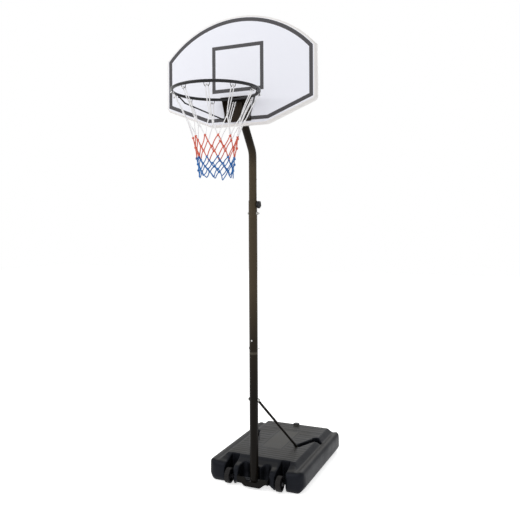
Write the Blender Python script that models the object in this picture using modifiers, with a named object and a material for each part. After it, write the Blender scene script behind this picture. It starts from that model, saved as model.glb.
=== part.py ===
"""Portable basketball stand: a ballast tank on two wheels, a pole in three
sections, two struts, a moulded backboard, and a steel rim with its net.

Metres, +Z up, front (the rim's side) towards -Y. The origin is on the floor
under the middle of the tank.
"""
import math

import bmesh
import bpy
from mathutils import Matrix, Vector

# Gaps between pieces
SEAT_GAP = 0.0003
HOLE_PLAY = 0.0004
TUBE_PLAY = 0.0008

# Ballast tank
TANK_WIDTH = 0.578
TANK_LENGTH = 0.765
TANK_SHOULDER_HEIGHT = 0.115
TANK_PLATFORM_HEIGHT = 0.1435
TANK_PLATFORM_WIDTH = 0.430
TANK_VALLEY_OFFSET = 0.024
TANK_VALLEY_HEIGHT = 0.108
TANK_CREST_INSET = 0.030
TANK_FOOT_CHAMFER = 0.027
TANK_FOOT_RADIUS = 0.010
TANK_SHOULDER_RADIUS = 0.025
TANK_CREST_RADIUS = 0.014
TANK_EDGE_RADIUS = 0.010
TANK_CORNER_RADIUS = 0.042
TANK_FRONT_ROUNDING = 0.034
TANK_FRONT_LIP = 0.008
TANK_FRONT_RISE = 0.002
TANK_APRON_LENGTH = 0.105
TANK_APRON_RADIUS = 0.030
TANK_BACK_SLOPE = 0.020
PANEL_WIDTH = 0.138
PANEL_LENGTH = 0.336
PANEL_SETBACK = 0.258
PANEL_LINE = 0.004
PANEL_LINE_DEPTH = 0.002
PANEL_MARGIN = 0.012
GROOVE_WIDTH = 0.007
GROOVE_DEPTH = 0.003
GROOVE_PITCH = 0.030
SIDE_GROOVE_PITCH = 0.040
FRONT_GROOVES = 5
BACK_GROOVES = 3

# Notch for the pole and wells for the wheels, in the tank's front
NOTCH_WIDTH = 0.192
SCALLOP_RADIUS = 0.028
SCALLOP_CENTRE_X = 0.067
SOCKET_PLAY = 0.006
NOSE_LENGTH = 0.013
NOSE_ROOT = 0.050
NOSE_CHAMFER = 0.026
NOSE_CHAMFER_FOOT = 0.012
NOSE_EDGE_RADIUS = 0.006
NOTCH_EDGE_RADIUS = 0.010
WELL_INNER_X = 0.134
WELL_OUTER_X = 0.188
WELL_DEPTH = 0.104
WELL_CORNER_RADIUS = 0.006

# Wheels and their axle
WHEEL_RADIUS = 0.043
WHEEL_WIDTH = 0.028
WHEEL_X = 0.160
WHEEL_FLOOR_GAP = 0.004
TREAD_RIBS = 24
TREAD_DEPTH = 0.0016
HUB_RADIUS = 0.012
WHEEL_RIM_WALL = 0.009
WHEEL_DISH_DEPTH = 0.008
AXLE_RADIUS = 0.006
AXLE_CAP_RADIUS = 0.010
AXLE_CAP_LENGTH = 0.008
AXLE_CAP_WALL = 0.003

# Pole: lower and middle sections of one size, upper section inside the middle
POLE_RADIUS = 0.025
POLE_WALL = 0.0015
UPPER_RADIUS = 0.0225
POLE_SIDES = 18
POLE_SETBACK = 0.0024
SEAM_HEIGHT = 0.782
SWAGE_LENGTH = 0.006
NECK_LENGTH = 0.098
MIDDLE_TOP_HEIGHT = 1.662
UPPER_BOTTOM_HEIGHT = 1.330
FIRST_BEND_HEIGHT = 1.940
BEND_RADIUS = 0.085
LEAN_HEIGHT = 0.166
UPPER_TOP_HEIGHT = 2.335
END_CAP_THICKNESS = 0.004
END_CAP_DEPTH = 0.018

# Height setting: travel, slot, bolt, clamp knob and stop stud
TRAVEL_DOWN = 0.110
TRAVEL_UP = 0.200
HEIGHT_BOLT_HEIGHT = 1.587
KNOB_HEIGHT = 1.638
KNOB_RADIUS = 0.0225
KNOB_LOBES = 5
KNOB_LOBE_DEPTH = 0.0028
KNOB_THICKNESS = 0.0145
KNOB_EDGE_RADIUS = 0.003
BOSS_RADIUS = 0.009
BOSS_REACH = 0.0047
STOP_STUD_HEIGHT = 1.784
STOP_STUD_RADIUS = 0.004
STOP_STUD_PROUD = 0.0022

# Fasteners
BOLT_RADIUS = 0.004
BOLT_HEAD_RADIUS = 0.0075
BOLT_HEAD_THICKNESS = 0.0053
NUT_THICKNESS = 0.0065
WASHER_RADIUS = 0.010
WASHER_THICKNESS = 0.0016
BOLT_TAIL = 0.007
JOINT_BOLT_HEIGHT = 0.806
JOINT_BOLT_RADIUS = 0.003
JOINT_BOLT_TAIL = 0.017
DOME_HEAD_RADIUS = 0.008
DOME_HEAD_THICKNESS = 0.004

# Spring button in the front of the pole joint
BUTTON_HEIGHT = 0.854
BUTTON_RADIUS = 0.005
BUTTON_PROUD = 0.0036
BUTTON_TRAVEL = 0.0040
BUTTON_DOME = 0.0016
BUTTON_FLANGE = 0.0016
BUTTON_FLANGE_RADIUS = 0.0068
SPRING_WIDTH = 0.008
SPRING_THICKNESS = 0.0010
SPRING_LENGTH = 0.026

# Cradle that carries the pole between the inner blocks
CRADLE_PLATE = 0.004
CRADLE_GAP_TO_POLE = 0.006
CRADLE_BOTTOM_HEIGHT = 0.014
CRADLE_BOTTOM_WIDTH = 0.094
CRADLE_DIP_HEIGHT = 0.042
CRADLE_DIP_WIDTH = 0.068
CRADLE_WING_HEIGHT = 0.066
CRADLE_WING_FOOT = 0.051
CRADLE_SIDE_GAP = 0.0005
CRADLE_BEND_RADIUS = 0.010
CRADLE_CORNER_RADIUS = 0.005
CRADLE_LIP = 0.012
CRADLE_FLOOR_BACK = 0.008
AXLE_HEIGHT = WHEEL_FLOOR_GAP + WHEEL_RADIUS

# Struts from the pole to the tank
STRUT_RADIUS = 0.0075
STRUT_BOLT_HEIGHT = 0.511
STRUT_TAB_THICKNESS = 0.003
STRUT_TAB_WIDTH = 0.017
STRUT_TAB_LENGTH = 0.018
STRUT_FLATTENING = 0.030
STRUT_SPREAD = 0.006
STRUT_FOOT_X = 0.150
STRUT_FOOT_Y = 0.377
TROUGH_DEPTH = 0.0265
TROUGH_LEAD = 0.028
TROUGH_NOSE_RADIUS = 0.019
CUP_X = 0.210
CUP_Y = 0.512
CUP_RADIUS = 0.029
CUP_DEPTH = 0.052
STRUT_SCREW_RADIUS = 0.003
STRUT_SCREW_LENGTH = 0.018
STRUT_SCREW_HEAD_RADIUS = 0.0058
STRUT_SCREW_HEAD = 0.003

# Filler hole and screw cap, on the centre line at the tank's back edge
FILLER_FROM_BACK = 0.043
FILLER_RADIUS = 0.016
FILLER_DEPTH = 0.040
CAP_RADIUS = 0.021
CAP_HEIGHT = 0.009
CAP_STEM_LENGTH = 0.020
CAP_RIBS = 18
CAP_RIB_DEPTH = 0.0010
SEAL_THICKNESS = 0.0022
SEAL_INNER_RADIUS = 0.0166
SEAL_OUTER_RADIUS = 0.0200

# Backboard
BOARD_FRONT = 0.200
BOARD_THICKNESS = 0.050
BOARD_WIDTH = 0.902
BOARD_BOTTOM_HEIGHT = 2.067
BOARD_BOTTOM_WIDTH = 0.338
BOARD_FOOT_RISE = 0.112
BOARD_HEIGHT = 0.603
BOARD_ARC_RADIUS = 0.600
BOARD_EDGE_RADIUS = 0.012
BOARD_CORNER_RADIUS = 0.026
BOARD_WALL = 0.0035
BOARD_CHANNEL_WIDTH = 0.030
BOARD_CHANNEL_DEPTH = 0.014
BOARD_CHANNEL_SHARES = (0.31, 0.63)
BOARD_CHANNEL_MARGIN = 0.090
BOARD_BOSS_RADIUS = 0.011
BOARD_DRAIN_RADIUS = 0.004
BOARD_DRAIN_X = 0.120

# Rim, bracket and braces
RING_HEIGHT = 2.205
RING_RADIUS = 0.223
RING_ROD_RADIUS = 0.008
RING_BACK_GAP = 0.0372
BRACKET_WIDTH = 0.160
BRACKET_BOTTOM_HEIGHT = 2.087
BRACKET_SHEET = 0.003
BRACKET_HAT_WIDTH = 0.068
BRACKET_HAT_DEPTH = 0.013
BRACKET_HAT_TOP_HEIGHT = 2.190
BRACKET_SHELF_DEPTH = 0.047
GUSSET_DEPTH = 0.036
GUSSET_DROP = 0.085
RIM_BOLT_X = 0.054
RIM_BOLT_HEIGHTS = (2.112, 2.188)
BRACE_RADIUS = 0.004
BRACE_ANGLE = 84.5
BRACE_WELD_ANGLE = 4.0
BRACE_KNEE = (0.201, 0.036, 0.040)
BRACE_FOOT_X = 0.073
BRACE_FOOT_HEIGHT = 2.099

# Clamps that hold the board to the top of the pole
CLAMP_SHEET = 0.003
CLAMP_WIDTH = 0.142
CLAMP_HEIGHT = 0.112
CLAMP_BOTTOM_HEIGHT = 2.094
CLAMP_MOUTH_WIDTH = 0.062
CLAMP_MOUTH_HEIGHT = 2.139
TOP_CLAMP_HEIGHT = 0.030
TOP_CLAMP_BOTTOM_HEIGHT = 2.285
CLAMP_SCREW_RADIUS = 0.003
CLAMP_SCREW_LENGTH = 0.020
CLAMP_SCREW_HEAD_RADIUS = 0.006
CLAMP_SCREW_HEAD = 0.003

# Net and its hooks: eleven columns of diamonds, in three colours
NET_COLUMNS = 11
HOOK_WIRE_RADIUS = 0.0015
HOOK_WIDTH = 0.030
HOOK_DROP = 0.014
CORD_RADIUS = 0.0021
CORD_SIDES = 4
KNOT_LENGTH = 0.006
KNOT_LAP = 0.45
KNOT_SQUEEZE = 0.86
NET_TWIN_SPREAD = 0.24
NET_GATHER = (2.050, 0.1480)
NET_RED_TOP = (1.964, 0.1155)
NET_RED_MIDDLE = (1.911, 0.1060)
NET_BLUE_TOP = (1.860, 0.0975)
NET_BLUE_UPPER = (1.828, 0.0935)
NET_BLUE_LOWER = (1.799, 0.0900)
NET_TIPS = (1.765, 0.0870)

# Places that several pieces share
TANK_FRONT_Y = -TANK_LENGTH / 2
TANK_BACK_Y = TANK_LENGTH / 2
POLE_Y = TANK_FRONT_Y + POLE_SETBACK
BOARD_FRONT_Y = POLE_Y - BOARD_FRONT
BOARD_BACK_Y = BOARD_FRONT_Y + BOARD_THICKNESS
POLE_TOP_Y = BOARD_BACK_Y + SEAT_GAP + UPPER_RADIUS
RING_Y = BOARD_FRONT_Y - RING_BACK_GAP - RING_RADIUS
NECK_RADIUS = POLE_RADIUS - POLE_WALL - TUBE_PLAY
CRADLE_FLOOR_TOP = CRADLE_BOTTOM_HEIGHT + CRADLE_PLATE
POLE_BOTTOM_HEIGHT = CRADLE_FLOOR_TOP + SEAT_GAP
BOARD_SIDE_FOOT_HEIGHT = BOARD_BOTTOM_HEIGHT + BOARD_FOOT_RISE
BOARD_TOP_HEIGHT = BOARD_BOTTOM_HEIGHT + BOARD_HEIGHT
BRACKET_BACK_Y = BOARD_FRONT_Y - SEAT_GAP
BRACKET_FRONT_Y = BRACKET_BACK_Y - BRACKET_SHEET
SHELF_BOTTOM_HEIGHT = RING_HEIGHT + RING_ROD_RADIUS + SEAT_GAP
BRACKET_TOP_HEIGHT = SHELF_BOTTOM_HEIGHT + BRACKET_SHEET
TROUGH_FLOOR = TANK_PLATFORM_HEIGHT - TROUGH_DEPTH
PANEL_FRONT_Y = TANK_FRONT_Y + PANEL_SETBACK
FILLER_Y = TANK_BACK_Y - FILLER_FROM_BACK

# Directions in which flat outlines are drawn: local x, local y and extrusion
FLAT_XY = Matrix.Identity(4)
FLAT_XZ = Matrix(((1, 0, 0, 0), (0, 0, -1, 0), (0, 1, 0, 0), (0, 0, 0, 1)))
FLAT_YZ = Matrix(((0, 0, 1, 0), (1, 0, 0, 0), (0, 1, 0, 0), (0, 0, 0, 1)))


def clear_scene():
    """Remove whatever the file holds, so that only this model is in it."""
    for thing in list(bpy.data.objects):
        bpy.data.objects.remove(thing, do_unlink=True)
    for group in list(bpy.data.collections):
        bpy.data.collections.remove(group)


def new_collection(name):
    group = bpy.data.collections.new(name)
    bpy.context.scene.collection.children.link(group)
    return group


clear_scene()
PARTS = new_collection("basketball_stand")
CUTTERS = new_collection("cutters")


def finish(name, colour, roughness, metallic=0.0):
    """One Principled material."""
    material = bpy.data.materials.new(name)
    material.use_nodes = True
    shader = material.node_tree.nodes["Principled BSDF"]
    shader.inputs["Base Color"].default_value = (*colour, 1.0)
    shader.inputs["Roughness"].default_value = roughness
    shader.inputs["Metallic"].default_value = metallic
    material.diffuse_color = (*colour, 1.0)
    return material


def part(name, mesh, colour, roughness, metallic=0.0):
    """A named piece of the stand, with a material of its own."""
    thing = bpy.data.objects.new(name, mesh)
    PARTS.objects.link(thing)
    mesh.materials.clear()
    mesh.materials.append(finish(name + "_finish", colour, roughness, metallic))
    return thing


def tool(name, mesh):
    """A shape that only cuts or joins others."""
    thing = bpy.data.objects.new(name, mesh)
    CUTTERS.objects.link(thing)
    thing.hide_render = True
    thing.display_type = "WIRE"
    return thing


def combine(thing, other, operation):
    step = thing.modifiers.new(operation.lower() + "_" + other.name, "BOOLEAN")
    step.operation = operation
    step.solver = "EXACT"
    step.object = other


def cut(thing, *tools):
    for other in tools:
        combine(thing, other, "DIFFERENCE")


def join(thing, *tools):
    for other in tools:
        combine(thing, other, "UNION")


def round_edges(thing, width, segments, angle=50.0):
    step = thing.modifiers.new("rounded_edges", "BEVEL")
    step.width = width
    step.segments = segments
    step.limit_method = "ANGLE"
    step.angle_limit = math.radians(angle)


def mesh_of(name, bm):
    mesh = bpy.data.meshes.new(name)
    bm.to_mesh(mesh)
    bm.free()
    return mesh


def together(name, meshes):
    """Closed shapes that stand apart from each other, as one tool."""
    bm = bmesh.new()
    for mesh in meshes:
        bm.from_mesh(mesh)
    return tool(name, mesh_of(name, bm))


def evaluated_mesh(thing):
    """The thing's shape with its modifiers or curve settings worked in."""
    graph = bpy.context.evaluated_depsgraph_get()
    return bpy.data.meshes.new_from_object(thing.evaluated_get(graph))


def curve_to_mesh(name, curve, turn):
    """A curve made a closed mesh: its caps are welded and its place applied."""
    thing = bpy.data.objects.new(name, curve)
    CUTTERS.objects.link(thing)
    mesh = evaluated_mesh(thing)
    bpy.data.objects.remove(thing)
    bm = bmesh.new()
    bm.from_mesh(mesh)
    bmesh.ops.remove_doubles(bm, verts=bm.verts, dist=0.00001)
    bmesh.ops.dissolve_limit(bm, angle_limit=0.0005, verts=bm.verts, edges=bm.edges)
    bmesh.ops.recalc_face_normals(bm, faces=bm.faces)
    bmesh.ops.transform(bm, matrix=turn, verts=bm.verts)
    bm.to_mesh(mesh)
    bm.free()
    mesh.name = name
    return mesh


def box_mesh(name, low, high):
    bm = bmesh.new()
    bmesh.ops.create_cube(bm, size=1.0)
    size = Vector(high) - Vector(low)
    middle = (Vector(high) + Vector(low)) / 2
    place = Matrix.Translation(middle) @ Matrix.Diagonal((*size, 1.0))
    bmesh.ops.transform(bm, matrix=place, verts=bm.verts)
    return mesh_of(name, bm)


def rod_mesh(name, start, end, radius, sides=16, end_radius=None):
    """A straight round bar or cone between two points."""
    start = Vector(start)
    end = Vector(end)
    along = end - start
    bm = bmesh.new()
    bmesh.ops.create_cone(
        bm,
        cap_ends=True,
        segments=sides,
        radius1=radius,
        radius2=radius if end_radius is None else end_radius,
        depth=along.length,
    )
    turn = along.to_track_quat("Z", "Y").to_matrix().to_4x4()
    place = Matrix.Translation((start + end) / 2) @ turn
    bmesh.ops.transform(bm, matrix=place, verts=bm.verts)
    return mesh_of(name, bm)


def rounded(corners, steps=4):
    """Points of an outline whose corners, (x, y, radius), are rounded by arcs."""
    points = []
    count = len(corners)
    for index, (x, y, radius) in enumerate(corners):
        here = Vector((x, y))
        if radius <= 0:
            points.append(here)
            continue
        before = Vector(corners[index - 1][:2]) - here
        after = Vector(corners[(index + 1) % count][:2]) - here
        half = before.angle(after) / 2
        middle = here + (before.normalized() + after.normalized()).normalized() * (radius / math.sin(half))
        start = here + before.normalized() * (radius / math.tan(half)) - middle
        sweep = start.angle_signed(here + after.normalized() * (radius / math.tan(half)) - middle)
        for step in range(steps + 1):
            turn = Matrix.Rotation(-sweep * step / steps, 2)
            points.append(middle + turn @ start)
    return points


def arc(centre_x, centre_y, radius, start, end, steps):
    """Points on an arc from one angle to another, in degrees."""
    points = []
    for step in range(steps + 1):
        angle = math.radians(start + (end - start) * step / steps)
        points.append(Vector((centre_x + radius * math.cos(angle), centre_y + radius * math.sin(angle))))
    return points


def mirrored(points):
    """An outline's right half, in order, and its left half. A point on the
    middle line stays only where the outline turns there."""
    other = [Vector((-p[0], p[1])) for p in reversed(points) if abs(p[0]) > 0.00001]
    return [Vector(p) for p in points] + other


def slab_mesh(name, outlines, low, high, plane=FLAT_XY):
    """A flat outline, or an outline with holes, extruded from low to high."""
    curve = bpy.data.curves.new(name, "CURVE")
    curve.dimensions = "2D"
    curve.fill_mode = "BOTH"
    curve.extrude = (high - low) / 2
    for points in outlines:
        spline = curve.splines.new("POLY")
        spline.points.add(len(points) - 1)
        for target, point in zip(spline.points, points):
            target.co = (point[0], point[1], 0.0, 1.0)
        spline.use_cyclic_u = True
    middle = plane @ Matrix.Translation((0.0, 0.0, (low + high) / 2))
    return curve_to_mesh(name, curve, middle)


def lofted_mesh(name, levels, plane):
    """Outlines of as many points each, at their heights, joined by bands and
    closed by flat ends."""
    bm = bmesh.new()
    rings = [[bm.verts.new((p[0], p[1], height)) for p in points] for points, height in levels]
    for lower, upper in zip(rings, rings[1:]):
        for index in range(len(lower)):
            bm.faces.new((lower[index - 1], lower[index], upper[index], upper[index - 1]))
    bm.faces.new(rings[0])
    bm.faces.new(rings[-1])
    bmesh.ops.recalc_face_normals(bm, faces=bm.faces)
    bmesh.ops.transform(bm, matrix=plane, verts=bm.verts)
    return mesh_of(name, bm)


def tube_mesh(name, path, radius, resolution=4):
    """A round bar along a path of points, with its ends filled."""
    curve = bpy.data.curves.new(name, "CURVE")
    curve.dimensions = "3D"
    curve.bevel_depth = radius
    curve.bevel_resolution = resolution
    curve.use_fill_caps = True
    spline = curve.splines.new("POLY")
    spline.points.add(len(path) - 1)
    for target, point in zip(spline.points, path):
        target.co = (*point, 1.0)
    return curve_to_mesh(name, curve, Matrix.Identity(4))


def turned_mesh(name, profile, steps, place=Matrix.Identity(4)):
    """A profile of (radius, height), outer side from top to bottom, turned."""
    bm = bmesh.new()
    verts = [bm.verts.new((radius, 0.0, height)) for radius, height in profile]
    for first, second in zip(verts, verts[1:]):
        bm.edges.new((first, second))
    if profile[0][0] > 0.00001:
        bm.edges.new((verts[-1], verts[0]))
    thing = bpy.data.objects.new(name, mesh_of(name, bm))
    CUTTERS.objects.link(thing)
    screw = thing.modifiers.new("turned", "SCREW")
    screw.steps = steps
    screw.render_steps = steps
    screw.use_merge_vertices = True
    screw.merge_threshold = 0.00001
    mesh = evaluated_mesh(thing)
    bpy.data.objects.remove(thing)
    mesh.transform(place)
    mesh.name = name
    return mesh


def along_x(x, y, z, sign=1):
    """A place that turns a piece made along Z to lie along X, or along -X."""
    return Matrix.Translation((x, y, z)) @ Matrix.Rotation(math.radians(90 * sign), 4, "Y")


def along_y(x, y, z, sign=1):
    return Matrix.Translation((x, y, z)) @ Matrix.Rotation(math.radians(-90 * sign), 4, "X")


def hole(name, start, end, radius, sides=12):
    return tool(name, rod_mesh(name, start, end, radius, sides))


def cross_hole(name, height, radius, reach=POLE_RADIUS * 2):
    """A hole from side to side through the pole's middle line."""
    return hole(name, (-reach, POLE_Y, height), (reach, POLE_Y, height), radius)


def front_hole(name, height, radius):
    """A hole into the pole from its front."""
    return hole(name, (0, POLE_Y - POLE_RADIUS * 2, height), (0, POLE_Y, height), radius)


# Finishes: colour, roughness, metallic
ZINC = ((0.62, 0.63, 0.64), 0.35, 1.0)
STEEL = ((0.020, 0.018, 0.017), 0.42, 0.0)
TANK_PLASTIC = ((0.028, 0.029, 0.032), 0.50, 0.0)
BLACK_PLASTIC = ((0.013, 0.013, 0.014), 0.50, 0.0)


# Zinc-plated fasteners: each bolt is turned with its head, each nut is bored
def hex_bolt(name, place, reach, radius=BOLT_RADIUS):
    """A hexagon bolt: its head's underside is at its origin, shank up +Z."""
    bolt = part(name, turned_mesh(name, [(0, 0), (BOLT_HEAD_RADIUS, 0),
                (BOLT_HEAD_RADIUS, -BOLT_HEAD_THICKNESS), (0, -BOLT_HEAD_THICKNESS)], 6, place), *ZINC)
    shank = turned_mesh(name + "_shank", [(0, reach), (radius, reach),
                        (radius, -BOLT_HEAD_THICKNESS / 2), (0, -BOLT_HEAD_THICKNESS / 2)], 12, place)
    join(bolt, tool(name + "_shank", shank))
    return bolt


def dome_bolt(name, place, reach, radius, colour=ZINC):
    """A coach bolt with a low dome for a head."""
    dome = arc(0, 0, 1, 90, 0, 4)
    head = [(p.x * DOME_HEAD_RADIUS, -p.y * DOME_HEAD_THICKNESS) for p in reversed(dome)]
    profile = [(0, reach), (radius, reach), (radius, 0)] + head
    profile[-1] = (0, -DOME_HEAD_THICKNESS)
    return part(name, turned_mesh(name, profile, 12, place), *colour)


def flange_nut(name, place, radius=BOLT_RADIUS):
    """A hexagon nut on a round flange, bored for the bolt."""
    bore = arc(0, 0, radius + SEAT_GAP, 0, 324, 9)
    loose_bore = arc(0, 0, radius + HOLE_PLAY * 2, 0, 324, 9)
    disc = arc(0, 0, WASHER_RADIUS, 0, 330, 11)
    flats = arc(0, 0, BOLT_HEAD_RADIUS, 0, 300, 5)
    flange = slab_mesh(name + "_flange", [disc, loose_bore], 0.0, WASHER_THICKNESS)
    base = WASHER_THICKNESS / 2
    nut = slab_mesh(name, [flats, bore], base, WASHER_THICKNESS + NUT_THICKNESS)
    nut.transform(place)
    flange.transform(place)
    thing = part(name, nut, *ZINC)
    join(thing, tool(name + "_flange", flange))
    return thing


# The tank: three profiles that cross give the moulding, and then it is cut
def tank_cross_section():
    half = TANK_WIDTH / 2
    platform = TANK_PLATFORM_WIDTH / 2
    right = [
        (half - TANK_FOOT_CHAMFER * 0.7, 0.0, 0.0),
        (half, TANK_FOOT_CHAMFER, TANK_FOOT_RADIUS),
        (half, TANK_SHOULDER_HEIGHT, TANK_SHOULDER_RADIUS),
        (half - TANK_CREST_INSET, TANK_SHOULDER_HEIGHT, TANK_CREST_RADIUS),
        (platform + TANK_VALLEY_OFFSET, TANK_VALLEY_HEIGHT, TANK_EDGE_RADIUS),
        (platform, TANK_PLATFORM_HEIGHT, TANK_EDGE_RADIUS),
    ]
    left = [(-x, z, r) for x, z, r in reversed(right)]
    return rounded(right + left, 3)


def tank_side_profile():
    front = TANK_FRONT_Y
    return rounded([
        (front + TANK_FOOT_CHAMFER * 0.5, 0.0, 0.0),
        (front, TANK_FOOT_CHAMFER, TANK_FOOT_RADIUS * 0.8),
        (front, TANK_SHOULDER_HEIGHT, TANK_FRONT_ROUNDING),
        (front + TANK_FRONT_ROUNDING + TANK_FRONT_LIP, TANK_SHOULDER_HEIGHT + TANK_FRONT_RISE,
         TANK_APRON_RADIUS),
        (front + TANK_APRON_LENGTH, TANK_PLATFORM_HEIGHT, TANK_APRON_RADIUS),
        (TANK_BACK_Y - TANK_BACK_SLOPE, TANK_PLATFORM_HEIGHT, TANK_EDGE_RADIUS),
        (TANK_BACK_Y, TANK_SHOULDER_HEIGHT, TANK_SHOULDER_RADIUS * 0.875),
        (TANK_BACK_Y, TANK_FOOT_CHAMFER, TANK_FOOT_RADIUS * 0.8),
        (TANK_BACK_Y - TANK_FOOT_CHAMFER * 0.5, 0.0, 0.0),
    ][::-1], 3)


def tank_plan():
    """The outline from above, with the pole's notch and the wheel wells."""
    front = TANK_FRONT_Y
    notch = NOTCH_WIDTH / 2
    socket = POLE_RADIUS + SOCKET_PLAY
    half = TANK_WIDTH / 2
    socket_arc = arc(0, POLE_Y, socket, 90, 20, 6)
    scallop = arc(SCALLOP_CENTRE_X, POLE_Y + SCALLOP_RADIUS * 0.9, SCALLOP_RADIUS, 170, 0, 8)
    scallop = [p for p in scallop if p.x < notch]
    front_edge = rounded([
        (notch, POLE_Y + SCALLOP_RADIUS * 0.9, 0.0),
        (notch, front, NOTCH_EDGE_RADIUS),
        (WELL_INNER_X, front, NOTCH_EDGE_RADIUS),
        (WELL_INNER_X, front + WELL_DEPTH, WELL_CORNER_RADIUS),
        (WELL_OUTER_X, front + WELL_DEPTH, WELL_CORNER_RADIUS),
        (WELL_OUTER_X, front, NOTCH_EDGE_RADIUS),
        (half, front, TANK_CORNER_RADIUS),
        (half, TANK_BACK_Y, TANK_CORNER_RADIUS),
        (0.0, TANK_BACK_Y, 0.0),
    ], 3)[:-1]
    return mirrored(socket_arc + scallop + front_edge)


def inner_block_nose(side):
    """The inner block's rounded front, which stands ahead of the tank's face."""
    front = TANK_FRONT_Y - NOSE_LENGTH
    inset = NOSE_ROOT / 50
    top = TANK_SHOULDER_HEIGHT - inset
    outline = rounded([
        (front + TANK_FOOT_CHAMFER * 0.5, 0.0, 0.0),
        (front + NOSE_ROOT * 0.8, inset, 0.0),
        (front + NOSE_ROOT * 1.4, top * 0.6, 0.0),
        (front + NOSE_ROOT, top, 0.0),
        (front, top, TANK_FRONT_ROUNDING),
        (front, TANK_FOOT_CHAMFER, TANK_FOOT_RADIUS * 0.8),
    ], 3)
    low = NOTCH_WIDTH / 2 + HOLE_PLAY
    high = WELL_INNER_X - HOLE_PLAY
    if side < 0:
        low, high = -high, -low
    name = "inner_block_nose_" + ("right" if side > 0 else "left")
    nose = tool(name, slab_mesh(name, [outline[::-1]], low, high, FLAT_YZ))
    round_edges(nose, NOSE_EDGE_RADIUS, 2, 80)
    return nose


def tank_grooves():
    """Shallow grooves across the platform, kept clear of the smooth panel."""
    bm = bmesh.new()
    half = TANK_PLATFORM_WIDTH / 2 + TANK_VALLEY_OFFSET / 2
    panel = PANEL_WIDTH / 2
    margin = PANEL_MARGIN
    strips = []
    for index in range(FRONT_GROOVES):
        y = PANEL_FRONT_Y - GROOVE_PITCH * (index + 0.6)
        strips.append((-half, half, y))
    back = PANEL_FRONT_Y + PANEL_LENGTH
    for index in range(BACK_GROOVES):
        y = back + SIDE_GROOVE_PITCH * (index + 0.5)
        strips.append((-half, half, y))
    count = int((PANEL_LENGTH - margin) / SIDE_GROOVE_PITCH)
    for index in range(count + 1):
        y = PANEL_FRONT_Y + margin + SIDE_GROOVE_PITCH * index
        strips.append((panel + margin, half, y))
        strips.append((-half, -panel - margin, y))
    for low, high, y in strips:
        made = bmesh.ops.create_cube(bm, size=1.0)["verts"]
        size = (high - low, GROOVE_WIDTH, GROOVE_DEPTH * 4)
        top = TANK_PLATFORM_HEIGHT + GROOVE_DEPTH
        place = Matrix.Translation(((low + high) / 2, y, top)) @ Matrix.Diagonal((*size, 1.0))
        bmesh.ops.transform(bm, matrix=place, verts=made)
    return tool("platform_grooves", mesh_of("platform_grooves", bm))


def panel_frame():
    """The thin line that frames the smooth panel."""
    outlines = []
    for inset in (0.0, PANEL_LINE):
        half = PANEL_WIDTH / 2 - inset
        low = PANEL_FRONT_Y + inset
        high = PANEL_FRONT_Y + PANEL_LENGTH - inset
        radius = PANEL_LINE - inset / 2
        outlines.append(rounded([(half, low, radius), (half, high, radius),
                                 (-half, high, radius), (-half, low, radius)], 2))
    top = TANK_PLATFORM_HEIGHT
    return tool("panel_frame", slab_mesh("panel_frame", outlines, top - PANEL_LINE_DEPTH, top + PANEL_LINE))


def trough_outline(side):
    """Two unlike circles and the lines that touch both: the strut's recess."""
    foot = Vector((STRUT_FOOT_X, TANK_FRONT_Y + STRUT_FOOT_Y))
    cup = Vector((CUP_X, TANK_FRONT_Y + CUP_Y))
    nose = foot - (cup - foot).normalized() * TROUGH_LEAD
    radius = CUP_RADIUS * 0.72
    span = cup - nose
    heading = math.degrees(math.atan2(span.y, span.x))
    tilt = math.degrees(math.asin((radius - TROUGH_NOSE_RADIUS) / span.length))
    points = arc(cup.x, cup.y, radius, heading - 90 - tilt, heading + 90 + tilt, 8)
    points += arc(nose.x, nose.y, TROUGH_NOSE_RADIUS, heading + 90 + tilt, heading + 270 - tilt, 8)
    return [Vector((p.x * side, p.y)) for p in points]


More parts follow.
